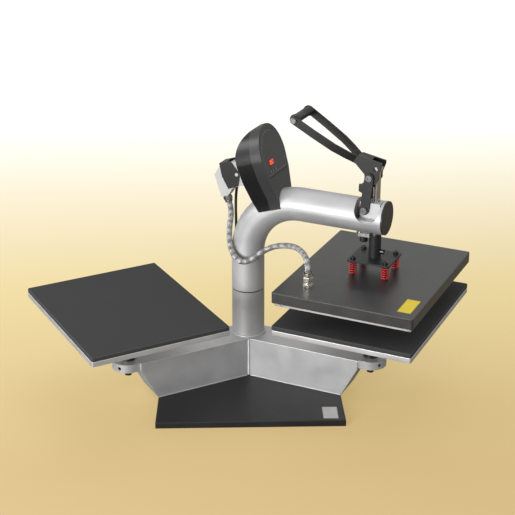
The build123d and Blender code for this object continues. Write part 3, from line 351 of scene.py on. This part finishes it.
def spline(name, points):
    """Smooth curve with these control points, in millimetres."""
    curve = bpy.data.curves.new(name, "CURVE")
    curve.dimensions = "3D"
    line = curve.splines.new("NURBS")
    line.points.add(len(points) - 1)
    for knot, point in zip(line.points, points):
        knot.co = (point[0] * MM, point[1] * MM, point[2] * MM, 1)
    line.order_u = 3
    line.use_endpoint_u = True
    line.resolution_u = 12
    return curve


def line_points(curve):
    """Points along a curve's own line."""
    holder = bpy.data.objects.new(curve.name + "_line", curve)
    mesh = bpy.data.meshes.new_from_object(holder)
    points = [vertex.co.copy() for vertex in mesh.vertices]
    bpy.data.objects.remove(holder)
    bpy.data.meshes.remove(mesh)
    return points


def tube_along(name, curve, radius):
    """Round tube mesh along a curve, closed at both ends, with its UV map along and around."""
    curve.bevel_depth = radius
    curve.bevel_resolution = 6
    curve.use_fill_caps = True
    holder = bpy.data.objects.new(name + "_curve", curve)
    mesh = bpy.data.meshes.new_from_object(holder)
    bpy.data.objects.remove(holder)
    piece = bpy.data.objects.new(name, mesh)
    bpy.context.collection.objects.link(piece)
    focus(piece)
    bpy.ops.object.mode_set(mode="EDIT")
    bpy.ops.mesh.select_all(action="SELECT")
    bpy.ops.mesh.remove_doubles(threshold=1e-6)
    bpy.ops.mesh.normals_make_consistent(inside=False)
    bpy.ops.object.mode_set(mode="OBJECT")
    bpy.ops.object.shade_smooth_by_angle(angle=SMOOTH_ANGLE)
    return piece


# Tools for finishes.
class Number:
    """A number or colour socket; Python's operators on it add Math nodes."""

    def __init__(self, finish, socket):
        self.finish = finish
        self.socket = socket

    def math(self, operation, *values):
        return self.finish.node("ShaderNodeMath", {"operation": operation}, dict(enumerate(values)))

    def __add__(self, other):
        return self.math("ADD", self, other)

    def __radd__(self, other):
        return self.math("ADD", other, self)

    def __sub__(self, other):
        return self.math("SUBTRACT", self, other)

    def __rsub__(self, other):
        return self.math("SUBTRACT", other, self)

    def __mul__(self, other):
        return self.math("MULTIPLY", self, other)

    def __rmul__(self, other):
        return self.math("MULTIPLY", other, self)


class Finish:
    """One material: constants on its shader, and the nodes that vary it."""

    def __init__(self, name, **constants):
        self.material = bpy.data.materials.new(name)
        self.material.use_nodes = True
        self.tree = self.material.node_tree
        self.shader = self.tree.nodes["Principled BSDF"]
        for socket, value in constants.items():
            self.shader.inputs[socket.replace("_", " ")].default_value = value
        self.where = self.node("ShaderNodeTexCoord", output="Object")

    def node(self, kind, settings=None, inputs=None, output=0):
        """Add a node with its settings, then the values or links of its sockets."""
        made = self.tree.nodes.new(kind)
        for name, value in (settings or {}).items():
            if name == "stops":
                for stop, (position, colour) in zip(made.color_ramp.elements, value):
                    stop.position = position
                    stop.color = colour
            else:
                setattr(made, name, value)
        for name, value in (inputs or {}).items():
            self.feed(made.inputs[name], value)
        return Number(self, made.outputs[output])

    def feed(self, socket, value):
        if isinstance(value, Number):
            self.tree.links.new(value.socket, socket)
        else:
            socket.default_value = value

    def set(self, **values):
        for name, value in values.items():
            self.feed(self.shader.inputs[name.replace("_", " ")], value)
        return self

    def noise(self, size, detail=2.0, rough=0.5, where=None):
        """Noise whose features are about size metres across."""
        return self.node(
            "ShaderNodeTexNoise",
            inputs={
                "Vector": where or self.where,
                "Scale": 1 / size,
                "Detail": detail,
                "Roughness": rough,
            },
        )

    def stretched(self, scale):
        """The piece's place, squeezed along each axis by scale."""
        return self.node("ShaderNodeMapping", inputs={"Vector": self.where, "Scale": scale})

    def part(self, name, source=None):
        """One coordinate of the piece's place."""
        return self.node("ShaderNodeSeparateXYZ", inputs={0: source or self.where}, output=name)

    def between(self, number, low, high, to_low=0.0, to_high=1.0):
        """A number's range low to high, spread over another range."""
        return self.node(
            "ShaderNodeMapRange",
            inputs={0: number, 1: low, 2: high, 3: to_low, 4: to_high},
        )

    def mix(self, share, first, second):
        """A colour between two, by a share from 0 to 1."""
        return self.node(
            "ShaderNodeMix",
            {"data_type": "RGBA"},
            {0: share, 6: colour(first), 7: colour(second)},
            2,
        )

    def bump(self, height, depth, strength=1.0):
        """Relief of height times depth metres on the surface."""
        return self.set(
            Normal=self.node(
                "ShaderNodeBump", inputs={"Height": height, "Distance": depth, "Strength": strength}
            )
        )


def colour(value):
    """A colour of three numbers, or one grey, with its alpha."""
    if isinstance(value, Number):
        return value
    if isinstance(value, float):
        return (value, value, value, 1)
    return (*value, 1)


def tint(base, share):
    """A colour made darker or lighter."""
    return tuple(channel * share for channel in base)


# Finishes of the press.
def metallic_paint(name, base, rough):
    """Silver paint: fine flakes under a satin coat, on slightly uneven steel."""
    paint = Finish(name, Metallic=0.55, Coat_Roughness=0.3)
    flakes = paint.noise(0.6 * MM, 1, 0.6)
    cloud = paint.noise(60 * MM, 3)
    tone = paint.between(cloud, 0.3, 0.7, 0.93, 1.05) * paint.between(flakes, 0.3, 0.7, 0.88, 1.12)
    shade = paint.between(tone, 0.6, 1.4)
    paint.set(Base_Color=paint.mix(shade, tint(base, 0.6), tint(base, 1.4)), Coat_Weight=0.15)
    paint.set(Roughness=paint.between(cloud, 0.35, 0.65, rough - 0.05, rough + 0.06))
    paint.bump(paint.noise(1.6 * MM, 3, 0.6), 0.06 * MM, 0.4)
    return paint


def powder_coat(name, base, rough, grain=0.9, depth=0.12, shine=0.4):
    """Baked black powder coat with its orange-peel grain."""
    coat = Finish(name, Coat_Roughness=0.35, Specular_IOR_Level=shine)
    grains = coat.noise(grain * MM, 4, 0.6)
    cloud = coat.noise(45 * MM, 2)
    share = coat.between(grains * 0.6 + cloud * 0.4, 0.35, 0.65)
    coat.set(Base_Color=coat.mix(share, tint(base, 0.8), tint(base, 1.25)), Coat_Weight=0.08)
    coat.set(Roughness=coat.between(share, 0, 1, rough - 0.05, rough + 0.07))
    coat.bump(grains, depth * MM, 0.5)
    return coat


def machined(name, base, rough, along=(1, 1, 1), grain=0.5):
    """Turned or ground steel with fine tool lines."""
    steel = Finish(name, Metallic=1.0)
    lines = steel.noise(grain * MM, 2, 0.6, steel.stretched(along))
    stain = steel.noise(12 * MM, 3)
    share = steel.between(lines * 0.7 + stain * 0.3, 0.35, 0.65)
    steel.set(Base_Color=steel.mix(share, tint(base, 0.82), base))
    steel.set(Roughness=steel.between(share, 0, 1, rough - 0.06, rough + 0.08))
    steel.bump(lines, 0.03 * MM, 0.35)
    return steel


def moulded(name, base, rough, grain=0.35, depth=0.03):
    """Moulded plastic with a spark-eroded grain."""
    plastic = Finish(name)
    grains = plastic.noise(grain * MM, 2, 0.5)
    cloud = plastic.noise(30 * MM, 2)
    plastic.set(Base_Color=plastic.mix(cloud, tint(base, 0.88), tint(base, 1.12)))
    plastic.set(Roughness=plastic.between(grains, 0.3, 0.7, rough - 0.05, rough + 0.06))
    plastic.bump(grains, depth * MM, 0.5)
    return plastic


def foam_rubber(name, base):
    """Closed-cell silicone sponge: matte, finely pored, faintly marked by pressing."""
    foam = Finish(name, Specular_IOR_Level=0.35)
    pores = foam.node(
        "ShaderNodeTexVoronoi", inputs={"Vector": foam.where, "Scale": 1 / (1.4 * MM)}
    )
    cloud = foam.noise(90 * MM, 4, 0.6)
    mottle = foam.noise(4 * MM, 3)
    share = foam.between(cloud * 0.5 + mottle * 0.5, 0.35, 0.65)
    foam.set(Base_Color=foam.mix(share, tint(base, 0.86), tint(base, 1.14)))
    foam.set(Roughness=foam.between(share, 0, 1, 0.74, 0.9))
    foam.bump(pores, 0.12 * MM, 0.35)
    return foam


def braided_steel(name):
    """Crossing flat strands of steel wire, drawn along and around the hose by its UV map."""
    braid = Finish(name, Metallic=0.8)
    uv = braid.node("ShaderNodeTexCoord", output="UV")
    along = braid.part("Y", uv) * (HOSE_LENGTH / (2 * math.pi * HOSE_R) * HOSE_STRANDS)
    round_ = braid.part("X", uv) * HOSE_STRANDS
    right = (along + round_).math("PINGPONG", along + round_, 0.5)
    left = (along - round_).math("PINGPONG", along - round_, 0.5)
    wires = (along + round_).math("SINE", (along + round_) * 25) * 0.05
    height = right.math("MAXIMUM", right, left) * 2 + wires
    # The hollows between the strands are painted dark and the crests light: painted shade and
    # painted highlight on the braid's relief.
    braid.set(Base_Color=braid.mix(braid.between(height, 0.45, 0.95), 0.12, 0.80))
    braid.set(Roughness=braid.between(height, 0.3, 1.0, 0.6, 0.42))
    braid.bump(height, 0.6 * MM, 0.8)
    return braid


SILVER = (0.56, 0.56, 0.57)
# Each edge finish below is a lighter, smoother copy of the finish before it, for rounded edges and
# weld beads: partly wear, partly painted highlight.
silver_paint = metallic_paint("silver_paint", SILVER, 0.50)
silver_wear_highlight = metallic_paint("silver_wear_highlight", (0.66, 0.66, 0.67), 0.34)
cast_plate = metallic_paint("cast_plate", (0.56, 0.56, 0.57), 0.45)
cast_wear_highlight = metallic_paint("cast_wear_highlight", (0.70, 0.70, 0.70), 0.38)
floor_black = powder_coat("floor_black", (0.014, 0.014, 0.015), 0.48, 1.1, 0.10)
floor_wear_highlight = powder_coat("floor_wear_highlight", (0.024, 0.024, 0.025), 0.46, 1.1, 0.06)
casing_black = powder_coat("casing_black", (0.018, 0.018, 0.019), 0.36, 0.8, 0.05, 0.9)
casing_wear_highlight = powder_coat("casing_wear_highlight", (0.055, 0.054, 0.054), 0.32, 0.8, 0.04)
coat_black = powder_coat("coat_black", (0.014, 0.014, 0.015), 0.42)
coat_wear_highlight = powder_coat("coat_wear_highlight", (0.05, 0.05, 0.052), 0.38, 0.9, 0.06)
bright_steel = machined("bright_steel", (0.62, 0.62, 0.61), 0.28, (1, 1, 8))
chrome_rod = machined("chrome_rod", (0.72, 0.72, 0.73), 0.14, (1, 1, 10), 0.3)
black_steel = machined("black_steel", (0.09, 0.09, 0.095), 0.34)
bolt_steel = machined("bolt_steel", (0.20, 0.20, 0.205), 0.36)
nickel = machined("nickel", (0.82, 0.78, 0.68), 0.26, (1, 1, 6))
# The pad, box and shell edge finishes are lighter copies too: partly wear, partly painted
# highlight.
pad_rubber = foam_rubber("pad_rubber", (0.044, 0.044, 0.045))
pad_wear_highlight = foam_rubber("pad_wear_highlight", (0.07, 0.07, 0.071))
box_black = moulded("box_black", (0.042, 0.042, 0.043), 0.30, 0.5, 0.02)
shell_black = moulded("shell_black", (0.011, 0.011, 0.012), 0.26, 0.5, 0.02)
box_wear_highlight = moulded("box_wear_highlight", (0.06, 0.06, 0.062), 0.26, 0.5, 0.02)
grained_black = moulded("grained_black", (0.022, 0.022, 0.023), 0.42)
panel_film = moulded("panel_film", (0.062, 0.062, 0.064), 0.40, 0.25, 0.02)
shell_gray = moulded("shell_gray", (0.56, 0.56, 0.55), 0.38)
shell_wear_highlight = moulded("shell_wear_highlight", (0.68, 0.68, 0.67), 0.34)
key_gray = moulded("key_gray", (0.16, 0.16, 0.165), 0.38)
lead_black = moulded("lead_black", (0.018, 0.018, 0.018), 0.40, 0.8, 0.02)
board_green = moulded("board_green", (0.02, 0.14, 0.05), 0.40)
wool_white = moulded("wool_white", (0.62, 0.60, 0.54), 0.85, 1.2, 0.4)
spring_red = powder_coat("spring_red", (0.60, 0.018, 0.014), 0.30, 0.7, 0.03)
line_gray = moulded("line_gray", (0.30, 0.30, 0.31), 0.45)
label_ink = moulded("label_ink", (0.42, 0.30, 0.01), 0.45, 0.6, 0.01)
label_white = moulded("label_white", (0.74, 0.74, 0.73), 0.42, 0.6, 0.01)
label_yellow = moulded("label_yellow", (0.86, 0.66, 0.02), 0.40, 0.6, 0.01)
steel_braid = braided_steel("steel_braid")
window_red = moulded("window_red", (0.10, 0.008, 0.006), 0.12, 0.6, 0.005)
digit_red = Finish("digit_red", Roughness=0.4, Emission_Strength=2.2)
digit_red.set(
    Base_Color=digit_red.mix(digit_red.noise(2 * MM), (0.8, 0.02, 0.01), (0.9, 0.05, 0.02)),
    Emission_Color=digit_red.mix(digit_red.noise(3 * MM), (1.0, 0.05, 0.015), (1.0, 0.12, 0.03)),
)

# Cords come first: the braided hose to the heated platen, and the mains lead with its coil.
hose_curve = spline("hose_run", HOSE_ROUTE)
hose_path = line_points(hose_curve)
hose = tube_along("hose_tube", hose_curve, HOSE_R)
hose.data.materials.append(steel_braid.material)
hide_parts("braided_hose")
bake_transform(hose)


def coil_points():
    """Control points of the turns, clockwise from the left, each level at first, then climbing."""
    points = []
    for step in range(1, COIL_HALF_TURNS * COIL_STEPS // 2 + 1):
        turned = step / COIL_STEPS
        climb = min(max((turned % 1 - COIL_LEVEL) / COIL_LEVEL, 0), 1)
        rise = COIL_PITCH * (math.floor(turned) + climb * climb * (3 - 2 * climb))
        angle = math.pi - 2 * math.pi * turned
        radius = COIL_R / math.cos(math.pi / COIL_STEPS)
        points.append(
            (
                COIL_AT[0] + radius * math.cos(angle),
                COIL_AT[1] + radius * math.sin(angle),
                COIL_FLOOR + rise,
            )
        )
    return points


plug = rounded(
    "mains_plug",
    "stand",
    BAR_EDGE,
    grained_black,
    nickel,
    shine=lambda face: face.center.y < PIN_END,
)


def coil_tie(name):
    """Flat strap round the turns of the coil, open along the lead."""
    bpy.ops.mesh.primitive_cube_add(size=1, location=(0, 0, 0))
    tie = started(name)
    tie.scale = (TIE_BREADTH, TIE_WIDTH, TIE_TALL)
    settle(tie)
    pick_faces(tie, lambda face: abs(face.normal.y) > 0.9)
    bpy.ops.mesh.delete(type="ONLY_FACE")
    bpy.ops.object.mode_set(mode="OBJECT")
    pick_edges(tie, 1, TIE_WIDTH / 2)
    bpy.ops.mesh.bevel(offset=TIE_ROUND, segments=6)
    bpy.ops.object.mode_set(mode="OBJECT")
    bpy.ops.object.modifier_add(type="SOLIDIFY")
    tie.modifiers[-1].thickness = TIE_T
    tie.modifiers[-1].offset = -1
    bpy.ops.object.modifier_apply(modifier=tie.modifiers[-1].name)
    bpy.ops.object.shade_smooth_by_angle(angle=SMOOTH_ANGLE)
    at = Vector((math.cos(TIE_TURN), math.sin(TIE_TURN), 0)) * COIL_R * MM
    at += Vector((COIL_AT[0] * MM, COIL_AT[1] * MM, TIE_TALL / 2 + TIE_LIFT))
    settle(tie, Matrix.Translation(at) @ Matrix.Rotation(TIE_TURN, 4, "Z"))
    return finished(tie, "stand", grained_black, slot="black_plastic")


tie = coil_tie("coil_tie")
lead_curve = spline("lead_run", [*LEAD_ROUTE, *coil_points(), *COIL_TAIL])
lead_path = line_points(lead_curve)
lead = tube_along("lead_cable", lead_curve, LEAD_R)
lead.data.materials.append(lead_black.material)
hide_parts("mains_lead", "mains_coil")
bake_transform(lead)

# Painted steel of the stand and arm.
for side in ("right", "left"):
    rounded("beam_" + side, "stand", BEAM_EDGE, silver_paint, silver_wear_highlight)
    rounded("lug_" + side, "stand", BEAM_EDGE, silver_paint, silver_wear_highlight)
    rounded("tray_" + side, "platen_" + side, BEAM_EDGE, cast_plate, cast_wear_highlight)
    pad = rounded("pad_" + side, "platen_" + side, SOFT_EDGE, pad_rubber, pad_wear_highlight, 3)
    shown("swivel_post_" + side, black_steel)
rounded("floor_plate", "stand", FLOOR_EDGE, floor_black, floor_wear_highlight)
shown("column_post", silver_paint)
shown("pivot_shaft", bright_steel)
shown("thrust_ring", black_steel)
shown("lug_set_screws", black_steel)
rounded("arm_tube", "arm", TUBE_EDGE, silver_paint, silver_wear_highlight)
shown("arm_end_cap", grained_black)
rounded("guide_block", "arm", BAR_EDGE, silver_paint, silver_wear_highlight)

# Toggle and hand lever.
for node, body in (
    ("link_front", "links"),
    ("link_back", "links"),
    ("stop_block", "links"),
    ("lever_clevis", "lever"),
    ("lever_bar_front", "lever"),
    ("lever_bar_back", "lever"),
    ("plunger_sleeve", "plunger"),
    ("spring_plate", "plunger"),
    ("guide_nut", "plunger"),
):
    rounded(node, body, BAR_EDGE, coat_black, coat_wear_highlight)
for node in ("link_pivot_bolts", "link_top_bolts", "grip_bolt"):
    shown(node, bolt_steel)
shown("press_bolts", black_steel)
shown("stop_screw", black_steel)
shown("toggle_pin", bright_steel)
shown("guide_bar", bright_steel)
shown("guide_pin", bright_steel)
shown("plunger_shaft", chrome_rod)
shown("clamp_screw", black_steel)

# Press springs between the spring plate and the heated platen, copied from their CAD mesh.
springs = copied("press_springs", "press_springs_soft", spring_red)
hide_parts("press_springs")
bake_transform(springs)


def spool(node, body, paint):
    """Copy of the round hand grip, drawn in between its two end flanges."""
    piece = copied(node, node + "_spool", paint)
    axis = place(0, 1, 0)
    places = [vertex.co for vertex in piece.data.vertices]
    centre = sum(places, Vector()) / len(places)
    half = max((co - centre).dot(axis) for co in places)
    shoulder = half - GRIP_FLANGE - GRIP_TAPER
    focus(piece)
    bpy.ops.object.mode_set(mode="EDIT")
    bpy.ops.mesh.select_all(action="SELECT")
    bpy.ops.mesh.remove_doubles(threshold=MERGE_GAP)
    for cut in (-half + GRIP_FLANGE, -shoulder, shoulder, half - GRIP_FLANGE):
        bpy.ops.mesh.select_all(action="SELECT")
        bpy.ops.mesh.bisect(plane_co=centre + axis * cut, plane_no=axis)
    bpy.ops.object.mode_set(mode="OBJECT")
    for vertex in piece.data.vertices:
        along = axis * (vertex.co - centre).dot(axis)
        radial = vertex.co - centre - along
        if along.length < shoulder + GRIP_TAPER / 10 and radial.length > GRIP_CORE:
            vertex.co = centre + along + radial * GRIP_WAIST
    bpy.ops.object.shade_smooth_by_angle(angle=SMOOTH_ANGLE)
    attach(piece, body)
    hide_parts(node)
    return piece


spool("hand_grip", "grip", grained_black)

# Heated platen.
# The casing's upward-sloping rim faces also take the lighter edge finish: a painted highlight.
rounded(
    "heat_casing",
    "heat_platen",
    THIN_EDGE,
    casing_black,
    casing_wear_highlight,
    shine=lambda face: HIGHLIGHT_SLOPE[0] < face.normal.z < HIGHLIGHT_SLOPE[1],
)
rounded("heat_plate", "heat_platen", BAR_EDGE, cast_plate, cast_wear_highlight)
shown("heat_insulation", wool_white)
shown("hose_fitting", nickel)

# Control box.
rounded("box_front", "arm", SOFT_EDGE, box_black, box_wear_highlight, 3)
rounded("box_rear", "arm", SOFT_EDGE, shell_black, box_wear_highlight, 3)
shown("face_panel", panel_film)
shown("display_window", window_red)
shown("controller_board", board_green)
rounded("connector_base", "arm", TUBE_EDGE, shell_gray, shell_wear_highlight)
rounded("connector_hood", "arm", HOOD_EDGE, shell_gray, shell_wear_highlight)
rounded("connector_latch", "latch", THIN_EDGE, coat_black, coat_wear_highlight)
shown("hose_gland", bolt_steel)
shown("mains_gland", grained_black)
for key in ("left", "middle", "right"):
    shown("button_" + key, key_gray)


# Plain labels, seams and small fittings that sit on the solids.
def sticker(name, body, size, matrix, paint, border):
    """Thin label with rounded corners and a printed border."""
    bpy.ops.mesh.primitive_cube_add(size=1, location=(0, 0, STICKER_T / 2))
    label = started(name)
    label.scale = (size[0], size[1], STICKER_T)
    settle(label)
    for each in (border, paint):
        label.data.materials.append(each.material)
    pick_edges(label, 2, STICKER_T / 2)
    bpy.ops.mesh.bevel(offset=STICKER_ROUND, segments=4)
    bpy.ops.object.mode_set(mode="OBJECT")
    pick_faces(label, lambda face: face.normal.z > 0.9)
    bpy.ops.mesh.inset(thickness=STICKER_BORDER)
    bpy.ops.object.mode_set(mode="OBJECT")
    for face in label.data.polygons:
        face.material_index = int(face.select)
    settle(label, matrix)
    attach(label, body)
    return label


def weld(name, body, start, end, radius):
    """Rippled bead of weld between two points."""
    run = end - start
    steps = max(4, int(run.length / WELD_STEP))
    points = [(start + run * (step / steps)) / MM for step in range(steps + 1)]
    curve = spline(name, points)
    for step, knot in enumerate(curve.splines[0].points):
        knot.radius = 1.0 if step % 2 else WELD_NECK
    curve.resolution_u = 3
    curve.bevel_resolution = 3
    return finished(tube_along(name, curve, radius), body, silver_wear_highlight, slot="silver_paint")


def turned(name, body, matrix, rings, paint, slot, sides=32, bevel=0.4 * MM):
    """Stack of round or six-sided steps, each a height range and a radius, with eased edges."""
    steps = []
    for low, high, radius in rings:
        bpy.ops.mesh.primitive_cylinder_add(
            vertices=sides, radius=radius, depth=high - low, location=(0, 0, (low + high) / 2)
        )
        steps.append(settle(started(name)))
    focus(*steps)
    if len(steps) > 1:
        bpy.ops.object.join()
    piece = bpy.context.active_object
    piece.name = name
    soft_edges(piece, bevel)
    settle(piece, matrix)
    return finished(piece, body, paint, slot=slot)


label_turn = Matrix.Rotation(station_turn(), 4, "Z")
sticker(
    "floor_label",
    "stand",
    FLOOR_LABEL,
    Matrix.Translation((*FLOOR_LABEL_AT, BEAM_FOOT)),
    label_white,
    line_gray,
)
sticker(
    "casing_label",
    "heat_platen",
    CASING_LABEL,
    Matrix.Translation(place(*CASING_LABEL_AT, CASING_TOP)) @ label_turn,
    label_yellow,
    label_ink,
)

# Welds: down the front where the beams meet, beside each lug and along each beam's foot.
apex_y = -BEAM_W / 2 / math.cos(STATION_TURN) - 1.5 * MM
apex_low = Vector((0, apex_y, BEAM_FOOT + 2 * MM))
weld("apex_weld", "stand", apex_low, Vector((0, apex_y, BEAM_TOP)), APEX_WELD_R)
for side, name in ((1, "right"), (-1, "left")):
    for off, end in ((LUG_WELD_OFF, "front"), (-LUG_WELD_OFF, "back")):
        high = place(BEAM_END + 1 * MM, off, BEAM_TOP - 1 * MM, side)
        low = high - Vector((0, 0, LUG_WELD_TALL))
        weld("lug_weld_" + name + "_" + end, "stand", low, high, LUG_WELD_R)
    start, end = (
        place(reach, BEAM_W / 2, BEAM_FOOT + 0.5 * MM, side) for reach in FOOT_WELD_REACH
    )
    weld("foot_weld_" + name, "stand", start, end, FOOT_WELD_R)

fitting = Matrix.Translation(place(*FITTING_AT, 0))
turned(
    "fitting_nuts",
    "heat_platen",
    fitting,
    FITTING_NUTS,
    nickel,
    "nickel",
    sides=6,
    bevel=BAR_EDGE,
)
turned(
    "fitting_collar",
    "heat_platen",
    fitting,
    FITTING_COLLAR,
    nickel,
    "nickel",
)

# Small pan-head screws in the rim of the heated plate.
for number, (reach, side) in enumerate(RIM_SCREWS):
    head = place(reach * MM, side * RIM_OFF, RIM_Z)
    out = Matrix.Rotation(station_turn(), 4, "Z") @ Matrix.Rotation(side * math.pi / 2, 4, "X")
    turned(
        "rim_screw_%d" % (number + 1),
        "heat_platen",
        Matrix.Translation(head) @ out,
        (SCREW_HEAD,),
        bright_steel,
        "bright_steel",
        sides=16,
        bevel=BAR_EDGE,
    )

# Printed line round the control panel, and the lit digits.
outline = []
for step in range(LINE_STEPS + 1):
    turn = math.pi * step / LINE_STEPS
    outline.append((OUTLINE_HALF_W * math.cos(turn), FACE_MID + OUTLINE_HALF_H * math.sin(turn)))
outline = [OUTLINE_FOOT, *outline, (-OUTLINE_FOOT[0], OUTLINE_FOOT[1])]
outline = [outline[0], *outline, outline[-1], (0, OUTLINE_FOOT[1]), outline[0]]
rim_points = [FACE @ Vector((x, y, -PANEL_OUT)) / MM for x, y in outline]
rim_curve = spline("panel_rim", rim_points)
rim_curve.resolution_u = 3
finished(tube_along("panel_rim", rim_curve, LINE_R), "arm", line_gray, slot="face_membrane")

SEGMENTS = {"1": "bc", "8": "abcdefg", "0": "abcdef"}
BARS = {
    "a": (0, 1, 0),
    "b": (0.5, 0.5, 1),
    "c": (0.5, -0.5, 1),
    "d": (0, -1, 0),
    "e": (-0.5, -0.5, 1),
    "f": (-0.5, 0.5, 1),
    "g": (0, 0, 0),
}


def digits(text):
    """Lit seven-segment digits in the display window."""
    bars = []
    for position, figure in enumerate(text):
        for letter in SEGMENTS[figure]:
            across, up, upright = BARS[letter]
            bpy.ops.mesh.primitive_cylinder_add(vertices=6, radius=1, depth=1)
            bar = started("digit_bar")
            bar.scale = (DIGIT_H * DIGIT_BAR, DIGIT_H * DIGIT_STROKE, DIGIT_T)
            if upright:
                bar.rotation_euler = (0, 0, math.pi / 2)
            x = (position - (len(text) - 1) / 2) * DIGIT_STEP + across * DIGIT_H / 2
            y = up * DIGIT_H / 2
            depth = DIGIT_T / 2 - PANEL_OUT
            bar.location = (DISPLAY_AT[0] + x, DISPLAY_AT[1] + y, depth)
            bars.append(settle(bar))
    focus(*bars)
    bpy.ops.object.join()
    figures = bpy.context.active_object
    figures.name = "display_digits"
    settle(figures, FACE)
    return finished(figures, "arm", digit_red, slot="red_display")


digits("180")


# Floor, backdrop and light.
def backdrop_paper(name):
    """Pale paper, warm in front and white far back, that tints the object only a little."""
    paper = Finish(name, Roughness=0.95, Specular_IOR_Level=0.0)
    depth = paper.part("Y")
    near = paper.mix(paper.between(depth, PAPER_NEAR, PAPER_MID), PAPER_TAN, PAPER_CREAM)
    shade = paper.mix(paper.between(depth, PAPER_MID, PAPER_FAR), near, PAPER_WHITE)
    camera = paper.node("ShaderNodeLightPath", output="Is Camera Ray")
    glossy = paper.node("ShaderNodeLightPath", output="Is Glossy Ray")
    clear = paper.node("ShaderNodeLightPath", output="Is Transmission Ray")
    seen = camera.math("MAXIMUM", camera, camera.math("MAXIMUM", glossy * PAPER_MIRRORED, clear))
    strength = paper.between(depth, PAPER_MID, PAPER_FAR, PAPER_GLOW, PAPER_FAR_GLOW)
    glow = paper.mix(seen * strength, 0.0, shade)
    lit_shade = paper.mix(camera * PAPER_SHARE, PAPER_BOUNCE, shade)
    paper.set(Base_Color=lit_shade, Emission_Color=glow, Emission_Strength=1.0)
    return paper


bpy.ops.mesh.primitive_plane_add(size=PAPER_SIZE, location=(0, PAPER_BACK, 0))
floor = settle(started("studio_floor"))
floor.data.materials.append(backdrop_paper("floor_paper").material)

world = bpy.data.worlds.new("studio_air")
bpy.context.scene.world = world
world.use_nodes = True
air = world.node_tree
lit = air.nodes["Background"]
lit.inputs["Color"].default_value = AIR_COLOUR
lit.inputs["Strength"].default_value = AIR_GLOW
seen = air.nodes.new("ShaderNodeBackground")
seen.inputs["Color"].default_value = AIR_SEEN
seen.inputs["Strength"].default_value = 1.0
paths = air.nodes.new("ShaderNodeLightPath")
blend_air = air.nodes.new("ShaderNodeMixShader")
mirrored = air.nodes.new("ShaderNodeMath")
mirrored.operation = "MULTIPLY_ADD"
mirrored.inputs[1].default_value = AIR_MIRRORED
air.links.new(paths.outputs["Is Glossy Ray"], mirrored.inputs[0])
air.links.new(paths.outputs["Is Camera Ray"], mirrored.inputs[2])
air.links.new(mirrored.outputs[0], blend_air.inputs[0])
air.links.new(lit.outputs[0], blend_air.inputs[1])
air.links.new(seen.outputs[0], blend_air.inputs[2])
air.links.new(blend_air.outputs[0], air.nodes["World Output"].inputs["Surface"])


def soft_box(name, at, toward, size, power):
    """Large rectangular studio lamp facing a point."""
    lamp = bpy.data.lights.new(name, "AREA")
    lamp.shape = "RECTANGLE"
    lamp.size, lamp.size_y = size
    lamp.energy = power
    holder = bpy.data.objects.new(name, lamp)
    bpy.context.collection.objects.link(holder)
    holder.location = at
    holder.rotation_euler = (Vector(toward) - Vector(at)).to_track_quat("-Z", "Y").to_euler()
    return holder


for name, values in LAMPS.items():
    soft_box(name, *values)

bpy.context.scene.view_settings.view_transform = "Standard"
lens = bpy.data.cameras.new("photo_camera")
lens.lens = CAMERA_LENS
lens.sensor_width = CAMERA_SENSOR
lens.clip_end = CAMERA_FAR
camera = bpy.data.objects.new("photo_camera", lens)
bpy.context.collection.objects.link(camera)
camera.location = CAMERA_AT
camera.rotation_euler = (math.pi / 2 - CAMERA_DOWN, 0, CAMERA_YAW)
bpy.context.scene.camera = camera
